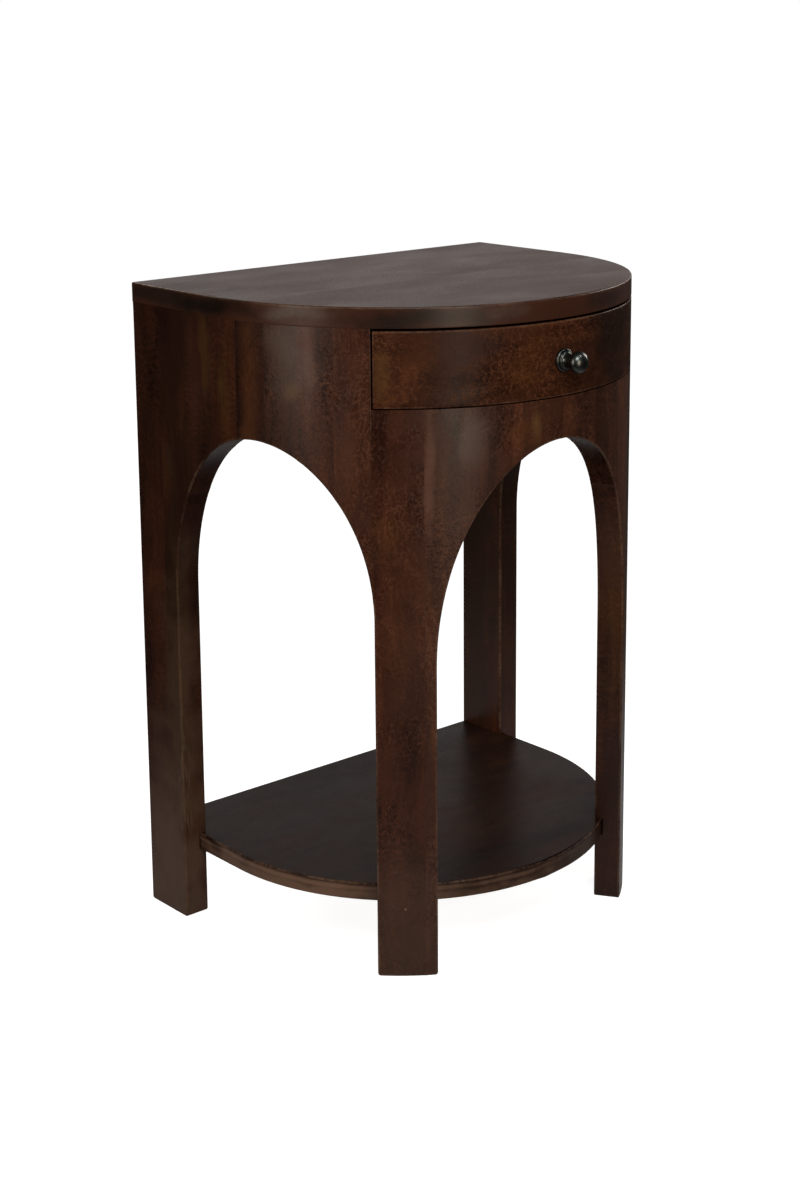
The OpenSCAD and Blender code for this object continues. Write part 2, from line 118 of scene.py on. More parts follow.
@dataclass(frozen=True)
class CaseShape:
    """Sizes of the case in metres, in the frame of the model."""

    bow_r: float = 0.229
    bow_y: float = 0.0645
    back_y: float = 0.1915
    wall: float = 0.026
    case_top: float = 0.616
    table_top: float = 0.635
    opening_z: float = 0.543
    seam_reach: float = 0.1885

    @property
    def quarter(self) -> float:
        """Reach at which the bow meets a flat side."""
        return self.bow_r * QUARTER_TURN

    @property
    def half_reach(self) -> float:
        """Reach of the back edge of a flat side."""
        return self.quarter + self.back_y - self.bow_y

    def on_shell(self, reach: Array, z: Array, depth: Array) -> Array:
        """Places points of the unrolled shell.

        Up to a quarter circle either way the shell is a circle about the bow's centre,
        and beyond it a flat side that runs straight back. Depth is measured inwards,
        square to the outside.

        Args:
            reach: Distance along the outside from the middle of the bow.
            z: Height.
            depth: Distance into the wood.

        Returns:
            Points with x, y and z in the last axis.
        """
        angle = np.clip(reach, -self.quarter, self.quarter) / self.bow_r
        past = np.maximum(np.abs(reach) - self.quarter, 0.0)
        radius = self.bow_r - depth
        x = radius * np.sin(angle)
        y = self.bow_y - radius * np.cos(angle) + past
        return np.stack([x, y, z + 0.0 * x], axis=-1)

    def on_side(self, side: Side) -> Place:
        """Way of placing the points of a stave on one side of the shell.

        Args:
            side: The side.

        Returns:
            Function of reach, as if on the right, height and depth.
        """

        def place(reach: Array, z: Array, depth: Array) -> Array:
            """Puts points of a stave on its side of the shell.

            Args:
                reach: Distance along the outside, as if on the right.
                z: Height.
                depth: Distance into the wood.

            Returns:
                Points with x, y and z in the last axis.
            """
            return self.on_shell(side.value * reach, z, depth)

        return place

    def plan_edge(self, inset: float, y_back: float, y_front: float, count: int) -> Array:
        """Left edge of the plan between two depths of the case.

        The edge is a straight line beside the flat side and then a quarter circle, and
        its points are spaced evenly in angle round the circle.

        Args:
            inset: Distance inside the outline of the case.
            y_back: Y where the edge starts.
            y_front: Y where it ends.
            count: Number of points.

        Returns:
            Points with x and y in the last axis, from back to front.
        """
        radius = self.bow_r - inset

        def reach_of(y: float) -> float:
            """Distance along the inset edge from the middle of the bow.

            Args:
                y: Depth in the frame of the model.

            Returns:
                The distance.
            """
            if y >= self.bow_y:
                return radius * QUARTER_TURN + y - self.bow_y
            return radius * math.acos(min((self.bow_y - y) / radius, 1.0))

        reach = np.linspace(reach_of(y_back), reach_of(y_front), count)
        angle = np.minimum(reach / radius, QUARTER_TURN)
        past = np.maximum(reach - radius * QUARTER_TURN, 0.0)
        x = -radius * np.sin(angle)
        y = self.bow_y - radius * np.cos(angle) + past
        return pairs(x, y)


def laid_flat(upper_z: float) -> Place:
    """Way of placing the points of a board that lies flat.

    Args:
        upper_z: Height of its upper face.

    Returns:
        Function of x, y and depth below that face.
    """

    def place(x: Array, y: Array, depth: Array) -> Array:
        """Puts points of the plan at a depth below the upper face.

        Args:
            x: X of the points.
            y: Y of the points.
            depth: Depth of the points.

        Returns:
            Points with x, y and z in the last axis.
        """
        return np.stack([x, y, upper_z - depth + 0.0 * x], axis=-1)

    return place


@dataclass(frozen=True)
class Arch:
    """Half-elliptical arch in the unrolled shell, with straight jambs below it."""

    middle: float
    half_w: float
    spring_z: float
    rise: float

    def flank(self, start: float, end: float, count: int) -> Array:
        """Points along the arch between two reaches.

        The points are spaced evenly in the ellipse's own angle, so that they crowd
        together where it turns upright.

        Args:
            start: Reach of the first point.
            end: Reach of the last point.
            count: Number of points.

        Returns:
            Points with reach and height in the last axis.
        """
        a0, a1 = (
            math.acos(max(-1.0, min(1.0, (r - self.middle) / self.half_w)))
            for r in (start, end)
        )
        angle = np.linspace(a0, a1, count)
        reach = self.middle + self.half_w * np.cos(angle)
        return pairs(reach, self.spring_z + self.rise * np.sin(angle))


@dataclass
class Outline:
    """Four-sided outline of a board in its own plane, with the softness of each edge.

    Foot and head run the same way and have the same number of points, and so do the
    two ends, which run from the foot to the head.
    """

    foot: Array
    head: Array
    first: Array
    last: Array
    foot_soft: Array
    head_soft: Array
    first_soft: Array
    last_soft: Array

    @staticmethod
    def between(
        foot: Array,
        head: Array,
        rows: int,
        soft: tuple[float, float, float, float],
    ) -> "Outline":
        """Outline whose two ends are straight.

        Args:
            foot: Points of the foot.
            head: Points of the head.
            rows: Number of points along each end.
            soft: Radii of the foot, last end, head and first end.

        Returns:
            The outline.
        """
        t = np.linspace(0.0, 1.0, rows)[:, None]
        edge = np.ones(len(foot) - 1)
        side = np.ones(rows - 1)
        return Outline(
            foot,
            head,
            foot[0] + (head[0] - foot[0]) * t,
            foot[-1] + (head[-1] - foot[-1]) * t,
            soft[0] * edge,
            soft[2] * edge,
            soft[3] * side,
            soft[1] * side,
        )

    def loop(self) -> tuple[Array, Array]:
        """Joins the four edges into a closed loop.

        Returns:
            The points, and the radius of the edge that leaves each point.
        """
        points = np.concatenate(
            [self.foot[:-1], self.last[:-1], self.head[:0:-1], self.first[:0:-1]]
        )
        soft = np.concatenate(
            [self.foot_soft, self.last_soft, self.head_soft[::-1], self.first_soft[::-1]]
        )
        return points, soft

    def split(self, loop: Array) -> tuple[Array, Array, Array, Array]:
        """Cuts a loop with as many points as this outline's into four edges.

        Args:
            loop: The loop.

        Returns:
            Foot, head, first end and last end.
        """
        c, r = len(self.foot) - 1, len(self.first) - 1
        closed = np.concatenate([loop, loop[:1]])
        foot = closed[: c + 1]
        last = closed[c : c + r + 1]
        head = closed[c + r : 2 * c + r + 1][::-1]
        first = closed[2 * c + r :][::-1]
        return foot, head, first, last


def inset_loop(points: Array, distance: Array) -> Array:
    """Moves each edge of a closed loop inwards and finds the new corners.

    A corner is where the two moved edges cross. Where they are almost in line it is
    moved along their shared normal instead. Edges of no length take the direction of
    the one before. Points that a narrow corner has passed join it, so that the moved
    loop doesn't cross itself.

    Args:
        points: Corners, counter-clockwise or clockwise.
        distance: Distance for the edge that leaves each corner.

    Returns:
        The new corners.
    """
    edge = np.roll(points, -1, axis=0) - points
    length = np.linalg.norm(edge, axis=1)
    for _ in range(DIRECTION_ROUNDS):
        short = length < NO_LENGTH
        edge[short] = np.roll(edge, 1, axis=0)[short]
        length = np.linalg.norm(edge, axis=1)
    edge /= np.maximum(length, TINY)[:, None]
    x, y = points[:, 0], points[:, 1]
    turn = np.sign(np.sum(x * np.roll(y, -1) - np.roll(x, -1) * y))
    b = turn * pairs(-edge[:, 1], edge[:, 0])
    a = np.roll(b, 1, axis=0)
    ra, rb = np.roll(distance, 1), distance
    cross = a[:, 0] * b[:, 1] - a[:, 1] * b[:, 0]
    perp_a = pairs(a[:, 1], -a[:, 0])
    perp_b = pairs(b[:, 1], -b[:, 0])
    held = np.abs(cross) >= IN_LINE
    safe = np.where(held, cross, 1.0)
    sharp = (ra[:, None] * perp_b - rb[:, None] * perp_a) / safe[:, None]
    mean = a + b
    mean /= np.maximum(np.linalg.norm(mean, axis=1), TINY)[:, None]
    flat = mean * (0.5 * (ra + rb))[:, None]
    moved = points + np.where(held[:, None], sharp, flat)
    count = len(points)
    for _ in range(JOINING_ROUNDS):
        way = np.roll(moved, -1, axis=0) - moved
        turned = np.sum(way * edge, axis=1) < -TINY
        ahead = np.flatnonzero(turned & held & ~np.roll(held, -1))
        behind = (np.flatnonzero(turned & ~held & np.roll(held, -1)) + 1) % count
        moved[(ahead + 1) % count] = moved[ahead]
        moved[behind - 1] = moved[behind]
        held[(ahead + 1) % count] = True
        held[behind - 1] = True
    return moved


def coons(foot: Array, head: Array, first: Array, last: Array) -> Array:
    """Grid of points between four edges.

    Each point is the blend of foot and head by its share of the height, plus the
    blend of the two ends by its share of the width, less the blend of the corners.

    Args:
        foot: Points of the foot.
        head: Points of the head.
        first: Points of the first end.
        last: Points of the last end.

    Returns:
        Points with rows first, then columns.
    """
    s = np.linspace(0.0, 1.0, len(foot))[None, :, None]
    step = np.linalg.norm(np.diff(first, axis=0), axis=1) + TINY
    t = np.concatenate([[0.0], np.cumsum(step)])
    t = (t / t[-1])[:, None, None]
    ruled = (1 - t) * foot[None] + t * head[None]
    ends = (1 - s) * first[:, None] + s * last[:, None]
    corners = (
        (1 - s) * (1 - t) * foot[0]
        + s * (1 - t) * foot[-1]
        + (1 - s) * t * head[0]
        + s * t * head[-1]
    )
    return ruled + ends - corners


@dataclass(frozen=True)
class Slab:
    """Board with softened edges, worked out from its outline.

    The face is a grid inside the outline. Round it runs a quarter circle from the face
    to the side, then the side, then a second quarter circle to the back face. The
    softness of an edge is the circle's radius, and at the back it is multiplied by the
    back's share. The shoulder is a narrow band that keeps the faces flat up to it.
    Wear is 0 on faces, and on a rounded edge it rises from 0 at one softness to 1 at
    another, because hands and cloths wear the edges that stand free.
    """

    thickness: float
    steps: int = 4
    shoulder: float = 0.0016
    unworn: float = 0.0002
    worn: float = 0.0007
    back_share: float = 1.0

    def rings(self, outline: Outline, share: float) -> list[tuple[Array, Array, Array]]:
        """Rings of points from the rim of a face, round its softened edge, to the side.

        Args:
            outline: Outline in the board's plane.
            share: Factor on the softness of the edges.

        Returns:
            Points, depth below the face and wear of each ring.
        """
        loop, radius = outline.loop()
        soft = radius * share
        corner = 0.5 * (soft + np.roll(soft, 1))
        worn = np.clip((corner - self.unworn) / (self.worn - self.unworn), 0.0, 1.0)
        found = [(inset_loop(loop, soft + self.shoulder), 0.0 * corner, 0.0 * worn)]
        for angle in np.linspace(0.0, QUARTER_TURN, self.steps + 1):
            flat = inset_loop(loop, soft * (1 - math.sin(angle)))
            found.append((flat, corner * (1 - math.cos(angle)), worn))
        found.append((found[-1][0], found[-1][1] + self.shoulder, 0.0 * worn))
        return found

    def build(self, name: str, outline: Outline, place: Place) -> bpy.types.Object:
        """Makes the board.

        Args:
            name: Name of the piece.
            outline: Outline in the board's plane.
            place: Puts plane coordinates and a depth in space.

        Returns:
            The object, closed and facing outwards.
        """
        upper = self.rings(outline, 1.0)
        back_rings = self.rings(outline, self.back_share)
        lower = [(p, self.thickness - d, w) for p, d, w in back_rings]
        faces = []
        for rim, depth in ((upper[0][0], 0.0), (lower[0][0], self.thickness)):
            grid = coons(*outline.split(rim))
            flat = grid[..., 0]
            faces.append(place(flat, grid[..., 1], np.full(flat.shape, depth)))
        rings = upper[1:] + lower[:0:-1]
        sides = [place(p[:, 0], p[:, 1], d) for p, d, _ in rings]
        rows, cols = faces[0].shape[:2]
        blank = np.zeros(rows * cols)
        points = np.concatenate([faces[0].reshape(-1, 3), *sides, faces[1].reshape(-1, 3)])
        wear = np.concatenate([blank, *[w for _, _, w in rings], blank])
        n = len(upper[0][0])
        front = np.arange(rows * cols).reshape(rows, cols)
        back = front + rows * cols + n * len(sides)
        bands = [rim_of(front)]
        bands += [rows * cols + n * k + np.arange(n) for k in range(len(sides))]
        bands.append(rim_of(back))
        quads = [grid_quads(front), grid_quads(back)[:, ::-1]]
        for low, high in zip(bands, bands[1:]):
            ring = [low, high, np.roll(high, -1), np.roll(low, -1)]
            quads.append(np.stack(ring, axis=-1))
        return make_object(name, points, np.concatenate(quads).tolist(), wear)


def rim_of(index: Array) -> Array:
    """Vertex numbers round the edge of a grid, once round.

    Args:
        index: Grid of vertex numbers.

    Returns:
        The numbers along the foot, up the last end, back along the head and down.
    """
    edges = [index[0, :-1], index[:-1, -1], index[-1, :0:-1], index[:0:-1, 0]]
    return np.concatenate(edges)


def grid_quads(index: Array) -> Array:
    """Four corners of each cell of a grid.

    Args:
        index: Grid of vertex numbers.

    Returns:
        The numbers of each cell's corners, in order round it.
    """
    return np.stack(
        [index[:-1, :-1], index[:-1, 1:], index[1:, 1:], index[1:, :-1]], axis=-1
    ).reshape(-1, 4)


def make_object(
    name: str,
    points: Array,
    faces: Sequence[Sequence[int]],
    wear: Array,
    smooth_angle: float = SHARP_FROM,
) -> bpy.types.Object:
    """Puts worked-out points and faces into an object.

    Doubles are merged first, and then the closed mesh's normals are turned outwards.

    Args:
        name: Name of the object.
        points: Vertices.
        faces: Vertex numbers of each face.
        wear: Wear of each vertex, from 0 to 1.
        smooth_angle: Angle in degrees above which an edge stays sharp.

    Returns:
        The object, linked to the scene.
    """
    mesh = bpy.data.meshes.new(name)
    mesh.from_pydata(points.tolist(), [], faces)
    attribute = mesh.attributes.new(ARRIS, "FLOAT", "POINT")
    attribute.data.foreach_set("value", wear.astype(np.float32))
    work = bmesh.new()
    work.from_mesh(mesh)
    bmesh.ops.remove_doubles(work, verts=work.verts, dist=DOUBLES)
    bmesh.ops.dissolve_degenerate(work, dist=NO_LENGTH, edges=work.edges)
    bmesh.ops.recalc_face_normals(work, faces=work.faces)
    work.to_mesh(mesh)
    work.free()
    finish_shading(mesh, smooth_angle)
    made = bpy.data.objects.new(name, mesh)
    bpy.context.scene.collection.objects.link(made)
    return made


def finish_shading(mesh: bpy.types.Mesh, angle: float) -> None:
    """Shades a mesh smooth, but for its sharp edges.

    Args:
        mesh: The mesh.
        angle: Angle in degrees above which an edge stays sharp.
    """
    mesh.polygons.foreach_set("use_smooth", np.ones(len(mesh.polygons), dtype=bool))
    mesh.set_sharp_from_angle(angle=math.radians(angle))
    mesh.update()


def cut_with(target: bpy.types.Object, cutter: bpy.types.Object) -> None:
    """Cuts one closed piece out of another and keeps the result as plain mesh.

    Args:
        target: Piece that is cut.
        cutter: Piece whose space is taken away.
    """
    tool = target.modifiers.new("housing", "BOOLEAN")
    tool.operation = "DIFFERENCE"
    tool.solver = "EXACT"
    tool.object = cutter
    bpy.context.view_layer.update()
    evaluated = target.evaluated_get(bpy.context.evaluated_depsgraph_get())
    mesh = bpy.data.meshes.new_from_object(evaluated)
    target.modifiers.clear()
    old = target.data
    target.data = mesh
    mesh.name = target.name
    bpy.data.meshes.remove(old)
    finish_shading(mesh, SHARP_FROM)


@dataclass(frozen=True)
class Layer:
    """Layer of noise, by its features to the metre and the strength of its finer ones.

    Along is the factor on Z before the noise is read, so that a small one draws the
    features out along the grain. Gain is how far the layer sways what it is added to.
    """

    scale: float
    detail: float = 3.0
    rough: float = 0.5
    along: float = 1.0
    gain: float = 1.0


GRAIN_BEND = Layer(9.0, 2.0, along=0.45)
BROAD_STREAKS = Layer(34.0, 3.0, 0.55, along=0.055, gain=1.5)
FINE_STREAKS = Layer(160.0, 4.0, 0.6, along=0.055, gain=0.75)
STAIN_PATCHES = Layer(17.0, 3.0, 0.55, along=0.5, gain=1.7)
STAIN_BLOTS = Layer(62.0, 4.0, 0.62, along=0.7, gain=0.7)
CURL_PLACES = Layer(9.0, 2.0)
SPOTS = Layer(380.0, 3.0, 0.8, along=0.75, gain=0.5)
THREADS = Layer(195.0, 2.0, along=0.7, gain=0.16)
CROWDING = Layer(19.0, 2.0, gain=0.8)
VESSELS = Layer(820.0, 2.0, along=0.07)
DUST = Layer(700.0, 2.0, 0.6, gain=0.55)
LONG_WEAR = Layer(24.0, 3.0, 0.6, gain=0.8)
SHORT_WEAR = Layer(260.0, 2.0, 0.6, gain=0.5)
PATCH_EDGE = Layer(26.0)
PATCH_STREAKS = Layer(330.0, 3.0, 0.65, along=0.16)
BROAD_SMEARS = Layer(7.0, 3.0, 0.6, gain=0.7)
WIPES = Layer(55.0, 3.0, 0.55, gain=0.3)


class Step(Enum):
    """Values at which a smooth step leaves 0 and reaches 1."""

    DARK_TO_BODY = (0.08, 0.5)
    BODY_TO_LIGHT = (0.46, 0.95)
    CURL = (0.48, 0.66)
    THREAD = (0.05, 0.0)
    CROWD = (0.4, 0.6)
    PORE = (0.6, 0.72)
    WEAR = (0.5, 0.86)
    ARRIS = (0.3, 1.0)
    PATCH = (1.15, 0.25)
    BROKEN = (0.44, 0.66)
    SPECK = (0.05, 0.018)
    FAR_FLOOR = (0.35, 1.3)
    NEAR_FLOOR = (0.95, 0.3)


class Wiring:
    """Adds nodes to one tree and joins them."""

    def __init__(self, tree: bpy.types.NodeTree) -> None:
        """Starts with a tree, which keeps the nodes that it has.

        Args:
            tree: The tree.
        """
        self.tree = tree

    def put(self, socket: Socket, value: Value) -> None:
        """Links a socket into an input, or sets the input to a constant.

        Args:
            socket: The input.
            value: A socket, a number, a colour or a vector.
        """
        if isinstance(value, bpy.types.NodeSocket):
            self.tree.links.new(value, socket)
        elif isinstance(value, (int, float)):
            socket.default_value = value
        elif socket.type == "RGBA":
            socket.default_value = (*tuple(value)[:3], 1.0)
        else:
            socket.default_value = tuple(value)

    def add(self, kind: str, settings: dict[str, object], **inputs: Value) -> Node:
        """Adds a node.

        Args:
            kind: Blender's name of the node type.
            settings: Properties of the node.
            **inputs: Inputs by name, with spaces written as underscores.

        Returns:
            The node.
        """
        node = self.tree.nodes.new(kind)
        for key, value in settings.items():
            setattr(node, key, value)
        for key, value in inputs.items():
            self.put(node.inputs[key.replace("_", " ")], value)
        return node

    def group(self, tree: bpy.types.NodeTree, **inputs: Value) -> Node:
        """Adds a shader group.

        Args:
            tree: The group's own tree.
            **inputs: Inputs by name, with spaces written as underscores.

        Returns:
            The group's node.
        """
        return self.add("ShaderNodeGroup", {"node_tree": tree}, **inputs)

    def place(self) -> Socket:
        """Place on the piece, in the frame of the model."""
        return self.add("ShaderNodeTexCoord", {}).outputs["Object"]

    def surface(self, shader: Socket, kind: str = "ShaderNodeOutputMaterial") -> None:
        """Ends the tree with the result of a shader.

        Args:
            shader: The shader's output.
            kind: Blender's name of the node that ends the tree.
        """
        self.put(self.add(kind, {}).inputs["Surface"], shader)

    def math(self, operation: str, a: Value, b: Value = 0.0, clamp: bool = False) -> Socket:
        """Result of a sum on one or two values.

        Args:
            operation: Blender's name of the sum.
            a: First value.
            b: Second value.
            clamp: Whether the result is kept between 0 and 1.

        Returns:
            The result.
        """
        node = self.add("ShaderNodeMath", {"operation": operation, "use_clamp": clamp})
        self.put(node.inputs[0], a)
        self.put(node.inputs[1], b)
        return node.outputs[0]

    def plus(self, a: Value, b: Value, clamp: bool = False) -> Socket:
        """Sum of two values, kept between 0 and 1 if clamped."""
        return self.math("ADD", a, b, clamp)

    def less(self, a: Value, b: Value, clamp: bool = False) -> Socket:
        """First value less the second, kept between 0 and 1 if clamped."""
        return self.math("SUBTRACT", a, b, clamp)

    def times(self, a: Value, b: Value, clamp: bool = False) -> Socket:
        """Product of two values, kept between 0 and 1 if clamped."""
        return self.math("MULTIPLY", a, b, clamp)

    def sway(self, value: Value, gain: Value) -> Socket:
        """Distance of a value above a half, times a gain."""
        return self.times(self.less(value, 0.5), gain)

    def vector(self, operation: str, a: Value, b: Value = ORIGIN) -> Socket:
        """Result of a sum on vectors.

        Args:
            operation: Blender's name of the sum.
            a: First vector.
            b: Second vector.

        Returns:
            The result, which is a single value for a length.
        """
        node = self.add("ShaderNodeVectorMath", {"operation": operation})
        self.put(node.inputs[0], a)
        self.put(node.inputs[1], b)
        return node.outputs["Value" if operation == "LENGTH" else "Vector"]

    def blend(self, factor: Value, a: Value, b: Value) -> Socket:
        """Mix of two colours.

        Args:
            factor: Share of the second colour.
            a: First colour.
            b: Second colour.

        Returns:
            The mixed colour.
        """
        node = self.add("ShaderNodeMix", {"data_type": "RGBA", "clamp_factor": True})
        self.put(node.inputs[0], factor)
        self.put(node.inputs[6], a)
        self.put(node.inputs[7], b)
        return node.outputs[2]

    def cloud(self, vector: Value, layer: Layer) -> Node:
        """Adds a noise node.

        Args:
            vector: Place.
            layer: Scale, finer layers and drawing out of the noise.

        Returns:
            The node.
        """
        if layer.along != 1.0:
            vector = self.vector("MULTIPLY", vector, (1.0, 1.0, layer.along))
        return self.add(
            "ShaderNodeTexNoise",
            {"noise_dimensions": "3D"},
            Vector=vector,
            Scale=layer.scale,
            Detail=layer.detail,
            Roughness=layer.rough,
        )

    def noise(self, vector: Value, layer: Layer) -> Socket:
        """Noise between 0 and 1 whose middle is about a half."""
        return self.cloud(vector, layer).outputs["Fac"]

    def drift(self, vector: Value, layer: Layer, reach: Triple) -> Socket:
        """Vector that wanders about nought: coloured noise less a half, times its reach.

        Args:
            vector: Place.
            layer: The noise.
            reach: Factor on x, y and z.

        Returns:
            The vector.
        """
        around = self.vector("SUBTRACT", self.cloud(vector, layer).outputs["Color"], HALVES)
        return self.vector("MULTIPLY", around, reach)

    def smooth(self, value: Value, step: Step) -> Socket:
        """Smooth step of a value from 0 to 1.

        Args:
            value: The value.
            step: Values that give 0 and 1.

        Returns:
            The step.
        """
        low, high = step.value
        node = self.add(
            "ShaderNodeMapRange", {"interpolation_type": "SMOOTHSTEP", "clamp": True}
        )
        self.put(node.inputs["Value"], value)
        self.put(node.inputs["From Min"], low)
        self.put(node.inputs["From Max"], high)
        self.put(node.inputs["To Min"], 0.0)
        self.put(node.inputs["To Max"], 1.0)
        return node.outputs["Result"]


@dataclass(frozen=True)
class GroupSockets:
    """Names and kinds of a shader group's inputs and outputs."""

    inputs: tuple[tuple[str, str, object], ...]
    outputs: tuple[tuple[str, str], ...]

    def make(self, name: str) -> tuple[Wiring, dict[str, Socket], Node]:
        """Makes an empty group with these sockets.

        Args:
            name: Name of the group.

        Returns:
            The wiring of its tree, its input sockets by name, and its output node.
        """
        tree = bpy.data.node_groups.new(name, "ShaderNodeTree")
        for label, kind, start in self.inputs:
            item = tree.interface.new_socket(name=label, in_out="INPUT", socket_type=kind)
            item.default_value = start
        for label, kind in self.outputs:
            tree.interface.new_socket(name=label, in_out="OUTPUT", socket_type=kind)
        entry = tree.nodes.new("NodeGroupInput")
        leave = tree.nodes.new("NodeGroupOutput")
        sockets = {label: entry.outputs[label] for label, _, _ in self.inputs}
        return Wiring(tree), sockets, leave


FLOAT = "NodeSocketFloat"
COLOUR = "NodeSocketColor"
VECTOR = "NodeSocketVector"


@dataclass(frozen=True)
class Figure:
    """Numbers of the figure of stained wood that are not in its layers of noise.

    The gains say how far rings, threads, pores and the rest sway the tone, the gloss or
    the height. Thread mean is what threads add on the average, and spot floor the
    lowest that a spot may fall below its middle.
    """

    bend: Triple = (0.055, 0.055, 0.03)
    ring_stretch: Triple = (1.0, 1.0, 0.12)
    curl_stretch: Triple = (0.9, 0.9, 1.0)
    ring_gain: float = 0.24
    thread_mean: float = 0.045
    spot_floor: float = -0.1
    sparse: float = 0.45
    pore_dark: float = 0.55
    patch_dull: float = 0.22
    pore_dull: float = 0.14
    dust_dull: float = 0.3
    fleck_dull: float = 0.4
    pore_depth: float = -0.6
    streak_height: float = 0.5

    def build(self) -> bpy.types.NodeTree:
        """Stained wood with its grain along Z.

        Slow noise bends the grain. Noise drawn out along Z makes streaks, rounder noise
        makes patches where the stain took unevenly, waves across the grain make curl,
        small noise in all directions makes flecks, the lines where a rounder noise
        passes its middle value make light threads, and very thin noise makes pores.

        Returns:
            The group.
        """
        w, i, leave = GroupSockets(
            (
                ("Vector", VECTOR, ORIGIN),
                ("Dark", COLOUR, (0.01, 0.005, 0.003, 1.0)),
                ("Body", COLOUR, (0.04, 0.016, 0.008, 1.0)),
                ("Light", COLOUR, (0.08, 0.032, 0.014, 1.0)),
                ("Streak", FLOAT, 1.0),
                ("Mottle", FLOAT, 1.0),
                ("Curl", FLOAT, 0.3),
                ("Pores", FLOAT, 0.5),
                ("Flecks", FLOAT, 0.3),
            ),
            (("Color", COLOUR), ("Gloss Loss", FLOAT), ("Height", FLOAT)),
        ).make("wood_figure")
        place = i["Vector"]
        bent = w.vector("ADD", place, w.drift(place, GRAIN_BEND, self.bend))
        fine = w.noise(bent, FINE_STREAKS)
        patches = w.noise(bent, STAIN_PATCHES)
        pores = w.times(w.smooth(w.noise(bent, VESSELS), Step.PORE), i["Pores"])
        dust = w.noise(place, DUST)
        streaks = w.times(self.streaks(w, bent, fine), i["Streak"])
        blots = w.sway(w.noise(bent, STAIN_BLOTS), STAIN_BLOTS.gain)
        mottle = w.times(w.plus(w.sway(patches, STAIN_PATCHES.gain), blots), i["Mottle"])
        curl = w.times(self.curl(w, bent, place), i["Curl"])
        flecks = self.flecks(w, bent, place, i["Flecks"])
        ripple = w.plus(w.plus(curl, flecks), 0.5)
        tone = w.plus(w.plus(streaks, mottle), ripple)
        low = w.blend(w.smooth(tone, Step.DARK_TO_BODY), i["Dark"], i["Body"])
        full = w.blend(w.smooth(tone, Step.BODY_TO_LIGHT), low, i["Light"])
        colour = w.blend(w.times(pores, self.pore_dark), full, i["Dark"])
        w.put(leave.inputs["Color"], colour)
        fleck_loss = w.times(flecks, self.fleck_dull)
        small_loss = w.plus(w.sway(dust, self.dust_dull), fleck_loss)
        pore_loss = w.plus(w.times(pores, self.pore_dull), small_loss)
        dull = w.plus(w.sway(patches, self.patch_dull), pore_loss)
        w.put(leave.inputs["Gloss Loss"], dull)
        grit = w.plus(w.times(dust, DUST.gain), w.times(fine, self.streak_height))
        w.put(leave.inputs["Height"], w.plus(w.times(pores, self.pore_depth), grit))
        return w.tree

    def streaks(self, w: Wiring, bent: Socket, fine: Socket) -> Socket:
        """Sway of the tone in long streaks: broad ones, fine ones and growth rings.

        Args:
            w: Wiring of the group.
            bent: Place, with the grain's bend.
            fine: Noise of the fine streaks.

        Returns:
            The sway.
        """
        rings = w.add(
            "ShaderNodeTexWave",
            {"wave_type": "RINGS", "rings_direction": "Z", "wave_profile": "SIN"},
            Vector=w.vector("MULTIPLY", bent, self.ring_stretch),
            Scale=14.0,
            Distortion=7.0,
            Detail=3.0,
            Detail_Scale=2.2,
        ).outputs["Fac"]
        thin = w.plus(w.sway(fine, FINE_STREAKS.gain), w.sway(rings, self.ring_gain))
        return w.plus(w.sway(w.noise(bent, BROAD_STREAKS), BROAD_STREAKS.gain), thin)

    def curl(self, w: Wiring, bent: Socket, place: Socket) -> Socket:
        """Sway of the tone in waves across the grain, in some places only.

        Args:
            w: Wiring of the group.
            bent: Place, with the grain's bend.
            place: Place.

        Returns:
            The sway.
        """
        waves = w.add(
            "ShaderNodeTexWave",
            {"wave_type": "BANDS", "bands_direction": "Z", "wave_profile": "SIN"},
            Vector=w.vector("MULTIPLY", bent, self.curl_stretch),
            Scale=42.0,
            Distortion=11.0,
            Detail=3.0,
            Detail_Scale=1.8,
        ).outputs["Fac"]
        return w.sway(waves, w.smooth(w.noise(place, CURL_PLACES), Step.CURL))

    def flecks(self, w: Wiring, bent: Socket, place: Socket, amount: Socket) -> Socket:
        """Sway of the tone in small spots and light threads.

        Both crowd where one more slow noise is high, and are sparse elsewhere.

        Args:
            w: Wiring of the group.
            bent: Place, with the grain's bend.
            place: Place.
            amount: Strength of all of them.

        Returns:
            The sway.
        """
        spots = w.less(w.noise(bent, SPOTS), 0.5)
        lifted = w.times(w.math("MAXIMUM", spots, self.spot_floor), SPOTS.gain)
        off_line = w.math("ABSOLUTE", w.less(w.noise(bent, THREADS), 0.5))
        thread = w.times(w.smooth(off_line, Step.THREAD), THREADS.gain)
        spread = w.plus(lifted, w.less(thread, self.thread_mean))
        crowd = w.times(w.smooth(w.noise(place, CROWDING), Step.CROWD), CROWDING.gain)
        return w.times(spread, w.times(w.plus(crowd, self.sparse), amount))


